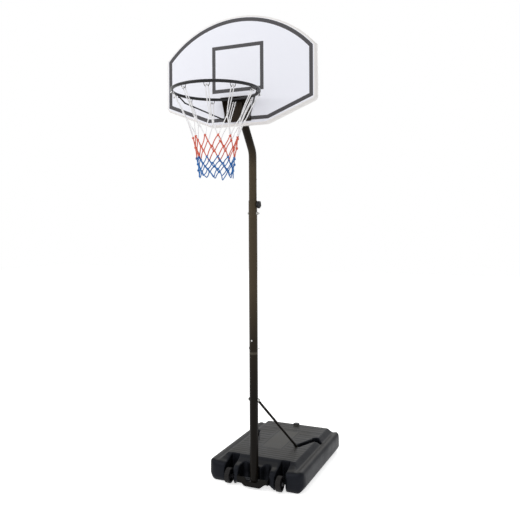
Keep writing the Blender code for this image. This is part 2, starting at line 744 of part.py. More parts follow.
def build_tank():
    reach = TANK_LENGTH
    top = TANK_PLATFORM_HEIGHT * 1.2
    tank = part("base_tank", slab_mesh("base_tank", [tank_plan()], 0.0, top), *TANK_PLASTIC)
    section = slab_mesh("tank_section", [tank_cross_section()], -reach, reach, FLAT_XZ)
    profile = slab_mesh("tank_profile", [tank_side_profile()], -reach, reach, FLAT_YZ)
    combine(tank, tool("tank_section", section), "INTERSECT")
    combine(tank, tool("tank_profile", profile), "INTERSECT")
    for side in (1, -1):
        join(tank, inner_block_nose(side))
    cut(tank, tank_grooves(), panel_frame())
    for side, label in ((1, "right"), (-1, "left")):
        trough = slab_mesh("trough_" + label, [trough_outline(side)], TROUGH_FLOOR, top)
        cup_y = TANK_FRONT_Y + CUP_Y
        cup = rod_mesh("cup_" + label, (CUP_X * side, cup_y, TANK_PLATFORM_HEIGHT - CUP_DEPTH),
                       (CUP_X * side, cup_y, top), CUP_RADIUS * 0.86, 20, CUP_RADIUS)
        screw_y = TANK_FRONT_Y + STRUT_FOOT_Y
        screw = hole("strut_screw_hole_" + label,
                     (STRUT_FOOT_X * side, screw_y, TROUGH_FLOOR - STRUT_SCREW_LENGTH),
                     (STRUT_FOOT_X * side, screw_y, top),
                     STRUT_SCREW_RADIUS + HOLE_PLAY, 12)
        cut(tank, tool("trough_" + label, trough), tool("cup_" + label, cup), screw)
        edge = NOTCH_WIDTH / 2
        foot = NOSE_CHAMFER_FOOT
        chamfer = [(edge - NOSE_CHAMFER, -foot), (edge + NOSE_CHAMFER, -foot),
                   (edge + NOSE_CHAMFER * 0.8, foot), (edge, foot + NOSE_CHAMFER),
                   (edge - NOSE_CHAMFER, foot + NOSE_CHAMFER)]
        chamfer = [Vector((x * side, z)) for x, z in chamfer]
        low = -(TANK_FRONT_Y + SCALLOP_RADIUS)
        high = -(TANK_FRONT_Y - NOSE_LENGTH * 2)
        cut(tank, tool("block_chamfer_" + label,
                       slab_mesh("block_chamfer_" + label, [chamfer], low, high, FLAT_XZ)))
    neck = hole("filler_bore", (0, FILLER_Y, TANK_PLATFORM_HEIGHT - FILLER_DEPTH),
                (0, FILLER_Y, top), FILLER_RADIUS, 20)
    axle = hole("axle_hole", (-WHEEL_X, POLE_Y, AXLE_HEIGHT), (WHEEL_X, POLE_Y, AXLE_HEIGHT),
                AXLE_RADIUS + HOLE_PLAY)
    cut(tank, neck, axle)
    return tank


# Filler cap and its seal
def ripple(radius, count, depth, points_each=4):
    """A circle whose radius waves in and out, as on a grip or a tread."""
    points = []
    total = count * points_each
    for index in range(total):
        wave = math.cos(2 * math.pi * index / points_each)
        angle = 2 * math.pi * index / total
        reach = radius - depth * (1 - wave) / 2
        points.append(Vector((reach * math.cos(angle), reach * math.sin(angle))))
    return points


def build_filler():
    y = FILLER_Y
    seat = TANK_PLATFORM_HEIGHT + SEAT_GAP
    underside = seat + SEAL_THICKNESS + SEAT_GAP
    outline = [Vector((p.x, p.y + y)) for p in ripple(CAP_RADIUS, CAP_RIBS, CAP_RIB_DEPTH, 2)]
    cap = part("filler_cap", slab_mesh("filler_cap", [outline], underside, underside + CAP_HEIGHT),
               *BLACK_PLASTIC)
    round_edges(cap, CAP_RIB_DEPTH, 1, 60)
    stem_radius = FILLER_RADIUS - TUBE_PLAY
    stem = rod_mesh("cap_stem", (0, y, seat - CAP_STEM_LENGTH), (0, y, underside + CAP_HEIGHT / 2),
                    stem_radius, 20)
    join(cap, tool("cap_stem", stem))
    ring = [(SEAL_OUTER_RADIUS, seat + SEAL_THICKNESS), (SEAL_OUTER_RADIUS, seat),
            (SEAL_INNER_RADIUS, seat), (SEAL_INNER_RADIUS, seat + SEAL_THICKNESS)]
    part("filler_seal", turned_mesh("filler_seal", ring, 16, Matrix.Translation((0, y, 0))),
         (0.55, 0.55, 0.53), 0.6)


# Wheels, spacers, axle and its push-on caps
def build_wheels():
    bore = AXLE_RADIUS + HOLE_PLAY
    rim_inner = WHEEL_RADIUS - WHEEL_RIM_WALL
    half = WHEEL_WIDTH / 2
    web = half - WHEEL_DISH_DEPTH
    for side, label in ((1, "right"), (-1, "left")):
        x = WHEEL_X * side
        tread = [Vector((p.x + POLE_Y, p.y + AXLE_HEIGHT))
                 for p in ripple(WHEEL_RADIUS, TREAD_RIBS, TREAD_DEPTH, 2)]
        eye = arc(POLE_Y, AXLE_HEIGHT, rim_inner, 0, 337.5, 15)
        tyre = slab_mesh("wheel_" + label, [tread, eye], x - half, x + half, FLAT_YZ)
        wheel = part("wheel_" + label, tyre, *BLACK_PLASTIC)
        reach = rim_inner + WHEEL_RIM_WALL / 3
        profile = [(HUB_RADIUS, half), (HUB_RADIUS, web), (reach, web), (reach, -web),
                   (HUB_RADIUS, -web), (HUB_RADIUS, -half), (bore, -half), (bore, half)]
        centre = turned_mesh("wheel_centre_" + label, profile, 16, along_x(x, POLE_Y, AXLE_HEIGHT))
        join(wheel, tool("wheel_centre_" + label, centre))
        spacer_low = WELL_INNER_X + SEAT_GAP
        spacer_high = WHEEL_X - WHEEL_WIDTH / 2 - SEAT_GAP
        length = spacer_high - spacer_low
        ring = [(HUB_RADIUS * 0.8, length / 2), (HUB_RADIUS * 0.8, -length / 2),
                (bore, -length / 2), (bore, length / 2)]
        middle = side * (spacer_low + spacer_high) / 2
        part("wheel_spacer_" + label, turned_mesh("wheel_spacer_" + label, ring, 12,
             along_x(middle, POLE_Y, AXLE_HEIGHT)), *BLACK_PLASTIC)
        cap_inner = WHEEL_X + WHEEL_WIDTH / 2 + SEAT_GAP
        wall = AXLE_CAP_WALL
        cup = [(0, AXLE_CAP_LENGTH), (AXLE_CAP_RADIUS * 0.7, AXLE_CAP_LENGTH), (AXLE_CAP_RADIUS, wall),
               (AXLE_CAP_RADIUS, 0), (AXLE_RADIUS + SEAT_GAP, 0),
               (AXLE_RADIUS + SEAT_GAP, AXLE_CAP_LENGTH - wall), (0, AXLE_CAP_LENGTH - wall)]
        part("axle_cap_" + label, turned_mesh("axle_cap_" + label, cup, 12,
             along_x(cap_inner * side, POLE_Y, AXLE_HEIGHT, side)), *ZINC)
    reach = WHEEL_X + WHEEL_WIDTH / 2 + AXLE_CAP_LENGTH - AXLE_CAP_WALL
    part("wheel_axle", rod_mesh("wheel_axle", (-reach, POLE_Y, AXLE_HEIGHT), (reach, POLE_Y, AXLE_HEIGHT),
         AXLE_RADIUS, 16), *ZINC)


# Cradle: a folded plate whose middle dips to make a tray under the pole
def build_cradle():
    wing = NOTCH_WIDTH / 2 - CRADLE_SIDE_GAP
    foot = CRADLE_BOTTOM_WIDTH / 2
    dip = CRADLE_DIP_WIDTH / 2
    front_y = POLE_Y - POLE_RADIUS - CRADLE_GAP_TO_POLE - CRADLE_PLATE
    right = rounded([
        (0.0, CRADLE_BOTTOM_HEIGHT, 0.0),
        (foot, CRADLE_BOTTOM_HEIGHT, CRADLE_BEND_RADIUS),
        (wing, CRADLE_WING_FOOT, CRADLE_BEND_RADIUS * 0.6),
        (wing, CRADLE_WING_HEIGHT, CRADLE_CORNER_RADIUS * 0.6),
        (dip + CRADLE_LIP, CRADLE_WING_HEIGHT, CRADLE_CORNER_RADIUS),
        (dip, CRADLE_DIP_HEIGHT, CRADLE_CORNER_RADIUS),
        (0.0, CRADLE_DIP_HEIGHT, 0.0),
    ], 2)[1:-1]
    cradle = part("pole_cradle", slab_mesh("pole_cradle", [mirrored(right)], -front_y - CRADLE_PLATE,
                  -front_y, FLAT_XZ), *STEEL)
    back_y = POLE_Y + CRADLE_FLOOR_BACK
    edge = foot - CRADLE_LIP
    floor = box_mesh("cradle_floor", (-edge, front_y + CRADLE_PLATE / 2, CRADLE_BOTTOM_HEIGHT),
                     (edge, back_y, CRADLE_FLOOR_TOP))
    join(cradle, tool("cradle_floor", floor))
    for side, label in ((1, "right"), (-1, "left")):
        outer = side * wing
        inner = side * (wing - CRADLE_PLATE)
        ear = box_mesh("cradle_ear_" + label,
                       (min(outer, inner), front_y + CRADLE_PLATE / 2, AXLE_HEIGHT - AXLE_RADIUS * 2),
                       (max(outer, inner), POLE_Y + AXLE_RADIUS * 2, CRADLE_WING_HEIGHT - SEAT_GAP * 3))
        join(cradle, tool("cradle_ear_" + label, ear))
    cut(cradle, cross_hole("cradle_axle_hole", AXLE_HEIGHT, AXLE_RADIUS + HOLE_PLAY, NOTCH_WIDTH))


# Pole sections
def build_lower_pole():
    inner = POLE_RADIUS - POLE_WALL
    neck_inner = NECK_RADIUS - POLE_WALL
    neck_top = SEAM_HEIGHT + NECK_LENGTH
    swage = SWAGE_LENGTH
    profile = [
        (NECK_RADIUS, neck_top), (NECK_RADIUS, SEAM_HEIGHT), (POLE_RADIUS, SEAM_HEIGHT - swage / 4),
        (POLE_RADIUS, POLE_BOTTOM_HEIGHT), (inner, POLE_BOTTOM_HEIGHT),
        (inner, SEAM_HEIGHT - swage * 2), (neck_inner, SEAM_HEIGHT - swage), (neck_inner, neck_top),
    ]
    place = Matrix.Translation((0, POLE_Y, 0))
    pole = part("lower_pole", turned_mesh("lower_pole", profile, POLE_SIDES, place), *STEEL)
    cut(pole,
        cross_hole("lower_axle_hole", AXLE_HEIGHT, AXLE_RADIUS + HOLE_PLAY),
        cross_hole("lower_strut_hole", STRUT_BOLT_HEIGHT, BOLT_RADIUS + HOLE_PLAY),
        cross_hole("lower_joint_hole", JOINT_BOLT_HEIGHT, JOINT_BOLT_RADIUS + HOLE_PLAY),
        front_hole("lower_button_hole", BUTTON_HEIGHT, BUTTON_RADIUS + HOLE_PLAY))


def build_middle_pole():
    inner = POLE_RADIUS - POLE_WALL
    bottom = SEAM_HEIGHT + SEAT_GAP
    profile = [(POLE_RADIUS, MIDDLE_TOP_HEIGHT), (POLE_RADIUS, bottom), (inner, bottom),
               (inner, MIDDLE_TOP_HEIGHT)]
    place = Matrix.Translation((0, POLE_Y, 0))
    pole = part("middle_pole", turned_mesh("middle_pole", profile, POLE_SIDES, place), *STEEL)
    boss = rod_mesh("clamp_boss", (POLE_RADIUS - POLE_WALL * 0.7, POLE_Y, KNOB_HEIGHT),
                    (POLE_RADIUS + BOSS_REACH, POLE_Y, KNOB_HEIGHT), BOSS_RADIUS, 16)
    join(pole, tool("clamp_boss", boss))
    screw = hole("clamp_screw_hole", (0, POLE_Y, KNOB_HEIGHT), (POLE_RADIUS * 2, POLE_Y, KNOB_HEIGHT),
                 BOLT_RADIUS + HOLE_PLAY)
    cut(pole, screw,
        front_hole("middle_button_hole", BUTTON_HEIGHT, BUTTON_RADIUS + HOLE_PLAY),
        cross_hole("middle_joint_hole", JOINT_BOLT_HEIGHT, JOINT_BOLT_RADIUS + HOLE_PLAY),
        cross_hole("middle_height_hole", HEIGHT_BOLT_HEIGHT, BOLT_RADIUS + HOLE_PLAY))


def bent_path(bottom, top):
    """The upper pole's centre line: upright, leaning forward, upright again."""
    lean_top = FIRST_BEND_HEIGHT + LEAN_HEIGHT
    corners = [
        (POLE_Y, bottom, 0.0),
        (POLE_Y, FIRST_BEND_HEIGHT, BEND_RADIUS),
        (POLE_TOP_Y, lean_top, BEND_RADIUS),
        (POLE_TOP_Y, top, 0.0),
    ]
    return [(0.0, p.x, p.y) for p in rounded(corners, 5)]


def build_upper_pole():
    name = "upper_pole"
    pole = part(name, tube_mesh(name, bent_path(UPPER_BOTTOM_HEIGHT, UPPER_TOP_HEIGHT), UPPER_RADIUS, 7),
                *STEEL)
    over = POLE_RADIUS
    bore = tube_mesh("upper_bore", bent_path(UPPER_BOTTOM_HEIGHT - over, UPPER_TOP_HEIGHT + over),
                     UPPER_RADIUS - POLE_WALL, 7)
    half = BOLT_RADIUS + HOLE_PLAY
    slot = rounded([
        (POLE_Y + half, HEIGHT_BOLT_HEIGHT - TRAVEL_UP - half * 2, half * 0.98),
        (POLE_Y + half, HEIGHT_BOLT_HEIGHT + TRAVEL_DOWN + half * 2, half * 0.98),
        (POLE_Y - half, HEIGHT_BOLT_HEIGHT + TRAVEL_DOWN + half * 2, half * 0.98),
        (POLE_Y - half, HEIGHT_BOLT_HEIGHT - TRAVEL_UP - half * 2, half * 0.98),
    ], 3)
    slots = slab_mesh("bolt_slot", [slot], -UPPER_RADIUS * 2, UPPER_RADIUS * 2, FLAT_YZ)
    stud_hole = hole("stop_stud_hole", (0, POLE_Y, STOP_STUD_HEIGHT),
                     (POLE_RADIUS * 2, POLE_Y, STOP_STUD_HEIGHT), STOP_STUD_RADIUS * 0.5 + SEAT_GAP, 8)
    cut(pole, tool("upper_bore", bore), tool("bolt_slot", slots), stud_hole)
    head = STOP_STUD_RADIUS
    shank = head * 0.5
    base = UPPER_RADIUS + SEAT_GAP
    profile = [(0, STOP_STUD_PROUD), (head * 0.6, STOP_STUD_PROUD * 0.85), (head, 0),
               (shank, 0), (shank, -POLE_WALL - STOP_STUD_PROUD), (0, -POLE_WALL - STOP_STUD_PROUD)]
    part("stop_stud", turned_mesh("stop_stud", profile, 12, along_x(base, POLE_Y, STOP_STUD_HEIGHT)), *STEEL)
    plug = UPPER_RADIUS - POLE_WALL - TUBE_PLAY
    cap_base = UPPER_TOP_HEIGHT + SEAT_GAP
    profile = [(0, cap_base + END_CAP_THICKNESS), (UPPER_RADIUS * 0.9, cap_base + END_CAP_THICKNESS),
               (UPPER_RADIUS, cap_base + END_CAP_THICKNESS * 0.6), (UPPER_RADIUS, cap_base),
               (plug, cap_base), (plug, cap_base - END_CAP_DEPTH), (0, cap_base - END_CAP_DEPTH)]
    part("pole_end_cap", turned_mesh("pole_end_cap", profile, POLE_SIDES,
         Matrix.Translation((0, POLE_TOP_Y, 0))), *BLACK_PLASTIC)


def build_pole_hardware():
    side = POLE_RADIUS + SEAT_GAP
    reach = side * 2 + WASHER_THICKNESS + NUT_THICKNESS + BOLT_TAIL
    hex_bolt("height_bolt", along_x(-side, POLE_Y, HEIGHT_BOLT_HEIGHT), reach)
    flange_nut("height_nut", along_x(side, POLE_Y, HEIGHT_BOLT_HEIGHT))
    dome_bolt("joint_bolt", along_x(-side, POLE_Y, JOINT_BOLT_HEIGHT), side + POLE_RADIUS + JOINT_BOLT_TAIL,
              JOINT_BOLT_RADIUS)
    strut_side = side + STRUT_TAB_THICKNESS + SEAT_GAP
    reach = strut_side * 2 + WASHER_THICKNESS + NUT_THICKNESS + BOLT_TAIL * 0.5
    hex_bolt("strut_bolt", along_x(-strut_side, POLE_Y, STRUT_BOLT_HEIGHT), reach)
    flange_nut("strut_nut", along_x(strut_side, POLE_Y, STRUT_BOLT_HEIGHT))


def build_knob():
    """A lobed clamp knob with its screw, which bears on the upper pole."""
    face = POLE_RADIUS + BOSS_REACH + SEAT_GAP
    outline = [Vector((p.x + POLE_Y, p.y + KNOB_HEIGHT))
               for p in ripple(KNOB_RADIUS, KNOB_LOBES, KNOB_LOBE_DEPTH, 6)]
    knob = part("height_knob", slab_mesh("height_knob", [outline], face, face + KNOB_THICKNESS, FLAT_YZ),
                *BLACK_PLASTIC)
    round_edges(knob, KNOB_EDGE_RADIUS, 1, 60)
    screw = rod_mesh("knob_screw", (UPPER_RADIUS + SEAT_GAP, POLE_Y, KNOB_HEIGHT),
                     (face + KNOB_THICKNESS / 2, POLE_Y, KNOB_HEIGHT), BOLT_RADIUS, 12)
    join(knob, tool("knob_screw", screw))


def build_button():
    """The joint's spring button, and the bent leaf that pushes it out. The
    leaf moves with the button, so its rear leg keeps clear by the travel."""
    inside = math.cos(math.pi / POLE_SIDES) * (NECK_RADIUS - POLE_WALL) - SEAT_GAP
    flange = BUTTON_FLANGE_RADIUS
    seat = math.sqrt(inside ** 2 - flange ** 2)
    tip = POLE_RADIUS + BUTTON_PROUD
    profile = [(0, tip), (BUTTON_RADIUS * 0.6, tip - BUTTON_DOME * 0.3), (BUTTON_RADIUS, tip - BUTTON_DOME),
               (BUTTON_RADIUS, seat), (flange, seat), (flange, seat - BUTTON_FLANGE),
               (0, seat - BUTTON_FLANGE)]
    part("join_button", turned_mesh("join_button", profile, 12, along_y(0, POLE_Y, BUTTON_HEIGHT, -1)), *ZINC)
    front = POLE_Y - (seat - BUTTON_FLANGE - SEAT_GAP)
    back = POLE_Y + math.sqrt(inside ** 2 - (SPRING_WIDTH / 2) ** 2) - BUTTON_TRAVEL - SEAT_GAP
    thick = SPRING_THICKNESS
    top = BUTTON_HEIGHT + SPRING_WIDTH * 0.8
    bottom = BUTTON_HEIGHT - SPRING_LENGTH
    bend = (back - front) / 2
    middle = (front + back) / 2
    outer = arc(middle, bottom + bend, bend, 180, 360, 8)
    inner = arc(middle, bottom + bend, bend - thick, 360, 180, 8)
    outline = [Vector((front, top))] + outer + [Vector((back, top)), Vector((back - thick, top))]
    outline += inner + [Vector((front + thick, top))]
    part("button_spring", slab_mesh("button_spring", [outline], -SPRING_WIDTH / 2, SPRING_WIDTH / 2, FLAT_YZ),
         *ZINC)


# Struts: a tube whose ends are pressed flat, upright above and level below
def flattened_end(name, edge, across, through, ring, axis):
    """The pressed stretch between a tab's edge and the round tube."""
    bm = bmesh.new()
    turn = axis.to_track_quat("Z", "Y").to_matrix().to_4x4()
    place = Matrix.Translation(ring) @ turn
    bmesh.ops.create_circle(bm, segments=10, radius=STRUT_RADIUS * 0.98, matrix=place)
    for wide in (-0.49, 0.49):
        for deep in (-0.48, 0.48):
            bm.verts.new(edge + across * wide * STRUT_TAB_WIDTH + through * deep * STRUT_TAB_THICKNESS)
    bmesh.ops.convex_hull(bm, input=bm.verts)
    return tool(name, mesh_of(name, bm))


def tab_mesh(name, centre, along, across, through):
    """A flat tab with one round end, bored later for its bolt or screw."""
    half = STRUT_TAB_WIDTH / 2
    outline = rounded([(-half, -half, half * 0.9), (STRUT_TAB_LENGTH, -half, 0.0),
                       (STRUT_TAB_LENGTH, half, 0.0), (-half, half, half * 0.9)], 3)
    frame = Matrix((along, across, through)).transposed().to_4x4()
    place = Matrix.Translation(centre) @ frame
    return slab_mesh(name, [outline], -STRUT_TAB_THICKNESS / 2, STRUT_TAB_THICKNESS / 2, place)


def build_struts():
    top_x = POLE_RADIUS + SEAT_GAP + STRUT_TAB_THICKNESS / 2
    foot_z = TROUGH_FLOOR + SEAT_GAP + STRUT_TAB_THICKNESS / 2
    reach = STRUT_TAB_LENGTH + STRUT_FLATTENING
    for side, label in ((1, "right"), (-1, "left")):
        top = Vector((top_x * side, POLE_Y, STRUT_BOLT_HEIGHT))
        foot = Vector((STRUT_FOOT_X * side, TANK_FRONT_Y + STRUT_FOOT_Y, foot_z))
        fall = foot - top
        through = Vector((side, 0, 0))
        down = Vector((0, fall.y, fall.z)).normalized()
        start = top + down * reach + through * STRUT_SPREAD
        back = Vector((-fall.x, -fall.y, 0)).normalized()
        end = foot + back * reach + Vector((0, 0, reach * 0.75))
        axis = (end - start).normalized()
        name = "strut_" + label
        strut = part(name, rod_mesh(name, start, end, STRUT_RADIUS, 10), *STEEL)
        upright = through.cross(down)
        tab = tab_mesh(name + "_upper_tab", top, down, upright, through)
        join(strut, tool(name + "_upper_tab", tab))
        edge = top + down * (STRUT_TAB_LENGTH - STRUT_TAB_THICKNESS)
        join(strut, flattened_end(name + "_upper_end", edge, upright, through,
                                  start + axis * STRUT_TAB_THICKNESS, axis))
        level = Vector((0, 0, 1))
        sideways = level.cross(back)
        tab = tab_mesh(name + "_lower_tab", foot, back, sideways, level)
        join(strut, tool(name + "_lower_tab", tab))
        edge = foot + back * (STRUT_TAB_LENGTH - STRUT_TAB_THICKNESS)
        join(strut, flattened_end(name + "_lower_end", edge, sideways, level,
                                  end - axis * STRUT_TAB_THICKNESS, axis))
        cut(strut, hole(name + "_eye", top - through * STRUT_TAB_WIDTH / 2, top + through * STRUT_TAB_WIDTH / 2,
                        BOLT_RADIUS + HOLE_PLAY))
        cut(strut, hole(name + "_foot_eye", foot - level * STRUT_TAB_WIDTH / 2,
                        foot + level * STRUT_TAB_WIDTH / 2, STRUT_SCREW_RADIUS + HOLE_PLAY))
        place = Matrix.Translation(foot + level * (STRUT_TAB_THICKNESS / 2 + SEAT_GAP))
        head = STRUT_SCREW_HEAD_RADIUS
        high = STRUT_SCREW_HEAD
        profile = [(0, high), (head * 0.7, high), (head, high / 3), (head, 0), (STRUT_SCREW_RADIUS, 0),
                   (STRUT_SCREW_RADIUS, -STRUT_SCREW_LENGTH), (0, -STRUT_SCREW_LENGTH)]
        part("strut_screw_" + label, turned_mesh("strut_screw_" + label, profile, 10, place), *ZINC)


# Backboard: a hollow moulding with a flat face, round edges and rear channels
def board_outline(grow):
    """The board's outline, grown outwards by a distance (or inwards if less
    than nothing): flat foot, two slanting feet, upright sides, arched top."""
    corner = BOARD_CORNER_RADIUS + grow
    half = BOARD_WIDTH / 2
    foot = Vector((BOARD_BOTTOM_WIDTH / 2, BOARD_BOTTOM_HEIGHT))
    side = Vector((half, BOARD_SIDE_FOOT_HEIGHT))
    slant = (side - foot).normalized()
    outward = Vector((slant.y, -slant.x)) * grow
    bottom = BOARD_BOTTOM_HEIGHT - grow
    edge = half + grow
    base = foot + outward
    foot_x = base.x + slant.x * (bottom - base.y) / slant.y
    side_z = base.y + slant.y * (edge - base.x) / slant.x
    radius = BOARD_ARC_RADIUS + grow
    centre = BOARD_TOP_HEIGHT - BOARD_ARC_RADIUS
    angle = math.degrees(math.acos(edge / radius))
    arch = arc(0, centre, radius, angle, 90, 8)
    corners = [(0.0, bottom, 0.0), (foot_x, bottom, corner), (edge, side_z, corner),
               (edge, centre + radius * math.sin(math.radians(angle)), 0.0), (0.0, centre, 0.0)]
    lower = rounded(corners, 3)[1:-2]
    return mirrored(lower + arch)


def board_shell(name, grow, radius, steps):
    """The board's outline made solid, with quarter-round edges, at its real
    size or grown on every side."""
    low = -BOARD_BACK_Y - grow
    high = -BOARD_FRONT_Y + grow
    levels = []
    for step in range(steps + 1):
        turn = math.radians(90.0 * step / steps)
        inset = radius * (1 - math.sin(turn))
        rise = radius * (1 - math.cos(turn))
        levels.append((board_outline(grow - inset), rise))
    rising = [(points, low + rise) for points, rise in levels]
    falling = [(points, high - rise) for points, rise in reversed(levels)]
    return lofted_mesh(name, rising + falling, FLAT_XZ)


def board_channel(share, side, grow):
    """One rear stiffening channel, or the wall around it when grown. It runs
    from the board's lower edge to its upper one, less a margin at each."""
    x = BOARD_WIDTH / 2 * share
    foot = BOARD_BOTTOM_WIDTH / 2
    slant = (BOARD_SIDE_FOOT_HEIGHT - BOARD_BOTTOM_HEIGHT) / (BOARD_WIDTH / 2 - foot)
    low = BOARD_BOTTOM_HEIGHT + max(0.0, x - foot) * slant + BOARD_CHANNEL_MARGIN - grow
    arch = math.sqrt(BOARD_ARC_RADIUS ** 2 - x ** 2) - BOARD_ARC_RADIUS
    high = BOARD_TOP_HEIGHT + arch - BOARD_CHANNEL_MARGIN + grow
    half = BOARD_CHANNEL_WIDTH / 2 + grow
    middle = x * side
    outline = rounded([(middle + half, low, half * 0.9), (middle + half, high, half * 0.9),
                       (middle - half, high, half * 0.9), (middle - half, low, half * 0.9)], 3)
    front = BOARD_BACK_Y - BOARD_CHANNEL_DEPTH - grow
    return slab_mesh("board_channel", [outline], -BOARD_BACK_Y - BOARD_WALL, -front, FLAT_XZ)


def build_board():
    board = part("backboard", board_shell("backboard", 0.0, BOARD_EDGE_RADIUS, 2), (0.83, 0.84, 0.88), 0.35)
    inner_radius = BOARD_EDGE_RADIUS - BOARD_WALL * 0.6
    cavity = tool("board_cavity", board_shell("board_cavity", -BOARD_WALL, inner_radius, 1))
    front = BOARD_FRONT_Y - BOARD_WALL
    back = BOARD_BACK_Y + BOARD_WALL
    posts = []
    cuts = []
    for share in BOARD_CHANNEL_SHARES:
        for side in (1, -1):
            posts.append(board_channel(share, side, BOARD_WALL))
            cuts.append(board_channel(share, side, 0.0))
    for label, x, z in rim_bolt_places():
        posts.append(rod_mesh("board_post", (x, front, z), (x, back, z), BOARD_BOSS_RADIUS, 12))
        cuts.append(rod_mesh("board_hole", (x, front, z), (x, back, z), BOLT_RADIUS + HOLE_PLAY, 10))
    for label, x, z in top_screw_places():
        posts.append(rod_mesh("board_post", (x, front, z), (x, back, z), BOARD_BOSS_RADIUS, 12))
        cuts.append(rod_mesh("board_hole", (x, BOARD_BACK_Y - CLAMP_SCREW_LENGTH, z), (x, back, z),
                             CLAMP_SCREW_RADIUS + HOLE_PLAY, 10))
    middle = (BOARD_FRONT_Y + BOARD_BACK_Y) / 2
    for x in (-BOARD_DRAIN_X, BOARD_DRAIN_X):
        cuts.append(rod_mesh("board_drain", (x, middle, BOARD_BOTTOM_HEIGHT - BOARD_WALL),
                             (x, middle, BOARD_BOTTOM_HEIGHT + BOARD_WALL * 3), BOARD_DRAIN_RADIUS, 8))
    cut(cavity, together("board_posts", posts))
    cut(board, cavity, together("board_cuts", cuts))


def rim_bolt_places():
    places = []
    for row, z in enumerate(RIM_BOLT_HEIGHTS):
        for side, label in ((1, "right"), (-1, "left")):
            places.append((("lower_", "upper_")[row] + label, RIM_BOLT_X * side, z))
    return places


def top_screw_places():
    z = TOP_CLAMP_BOTTOM_HEIGHT + TOP_CLAMP_HEIGHT / 2
    return [("top_right", RIM_BOLT_X, z), ("top_left", -RIM_BOLT_X, z)]


# Rim: ring, bracket with shelf and gussets, braces
def build_rim():
    bm = bmesh.new()
    rod = bmesh.ops.create_circle(bm, segments=8, radius=RING_ROD_RADIUS)["verts"]
    turn = Matrix.Translation((RING_RADIUS, RING_Y, RING_HEIGHT)) @ Matrix.Rotation(math.radians(90), 4, "X")
    bmesh.ops.transform(bm, matrix=turn, verts=rod)
    bmesh.ops.spin(bm, geom=bm.verts[:] + bm.edges[:], cent=(0, RING_Y, RING_HEIGHT), axis=(0, 0, 1),
                   angle=2 * math.pi, steps=NET_COLUMNS * 4, use_merge=True)
    bmesh.ops.remove_doubles(bm, verts=bm.verts, dist=0.00001)
    bmesh.ops.recalc_face_normals(bm, faces=bm.faces)
    ring = part("rim_ring", mesh_of("rim_ring", bm), *STEEL)
    for column in range(NET_COLUMNS):
        name = "net_hook_" + str(column + 1)
        join(ring, tool(name, hook_mesh(name, column)))
    half = BRACKET_WIDTH / 2
    sheet = BRACKET_SHEET
    shelf_front = BRACKET_FRONT_Y - BRACKET_SHELF_DEPTH
    fold = [Vector((BRACKET_BACK_Y, BRACKET_BOTTOM_HEIGHT)), Vector((BRACKET_BACK_Y, BRACKET_TOP_HEIGHT)),
            Vector((shelf_front, BRACKET_TOP_HEIGHT)), Vector((shelf_front, SHELF_BOTTOM_HEIGHT)),
            Vector((BRACKET_FRONT_Y, SHELF_BOTTOM_HEIGHT)), Vector((BRACKET_FRONT_Y, BRACKET_BOTTOM_HEIGHT))]
    bracket = part("rim_bracket", slab_mesh("rim_bracket", [fold], -half, half, FLAT_YZ), *STEEL)
    hat = BRACKET_HAT_WIDTH / 2
    front = BRACKET_FRONT_Y - BRACKET_HAT_DEPTH
    channel = mirrored([
        Vector((hat, front)), Vector((hat, BRACKET_FRONT_Y + sheet / 2)),
        Vector((hat - sheet, BRACKET_FRONT_Y + sheet / 2)), Vector((hat - sheet, front + sheet)),
    ])
    hat_mesh = slab_mesh("bracket_hat", [channel], BRACKET_BOTTOM_HEIGHT + SEAT_GAP, BRACKET_HAT_TOP_HEIGHT)
    join(bracket, tool("bracket_hat", hat_mesh))
    for side, label in ((1, "right"), (-1, "left")):
        outline = [Vector((BRACKET_FRONT_Y + sheet / 2, SHELF_BOTTOM_HEIGHT + sheet / 2)),
                   Vector((BRACKET_FRONT_Y - GUSSET_DEPTH, SHELF_BOTTOM_HEIGHT + sheet / 2)),
                   Vector((BRACKET_FRONT_Y + sheet / 2, SHELF_BOTTOM_HEIGHT - GUSSET_DROP))]
        outer = half - SEAT_GAP
        low = min(outer * side, (outer - sheet) * side)
        gusset = slab_mesh("gusset_" + label, [outline], low, low + sheet, FLAT_YZ)
        join(bracket, tool("gusset_" + label, gusset))
    for label, x, z in rim_bolt_places():
        cut(bracket, hole("bracket_bolt_hole_" + label, (x, BRACKET_FRONT_Y - BRACKET_HAT_DEPTH, z),
                          (x, BOARD_BACK_Y, z), BOLT_RADIUS + HOLE_PLAY))
    build_braces()


def ring_point(angle, radius, height):
    """A point on the ring's circle; 0 degrees is at the board, + to the right."""
    turn = math.radians(angle)
    return Vector((radius * math.sin(turn), RING_Y + radius * math.cos(turn), height))


def build_braces():
    """Round bars from under the ring's sides to the bracket's lower corners."""
    under = RING_HEIGHT - RING_ROD_RADIUS - BRACE_RADIUS - SEAT_GAP
    for side, label in ((1, "right"), (-1, "left")):
        tip = ring_point(side * (BRACE_ANGLE + BRACE_WELD_ANGLE), RING_RADIUS, under)
        weld = ring_point(side * BRACE_ANGLE, RING_RADIUS, under)
        knee = Vector((side * BRACE_KNEE[0], RING_Y + BRACE_KNEE[1], RING_HEIGHT - BRACE_KNEE[2]))
        foot = Vector((side * BRACE_FOOT_X, BRACKET_FRONT_Y - BRACE_RADIUS * 1.4, BRACE_FOOT_HEIGHT))
        name = "rim_brace_" + label
        part(name, tube_mesh(name, [tip, weld, knee, foot], BRACE_RADIUS, 2), *STEEL)


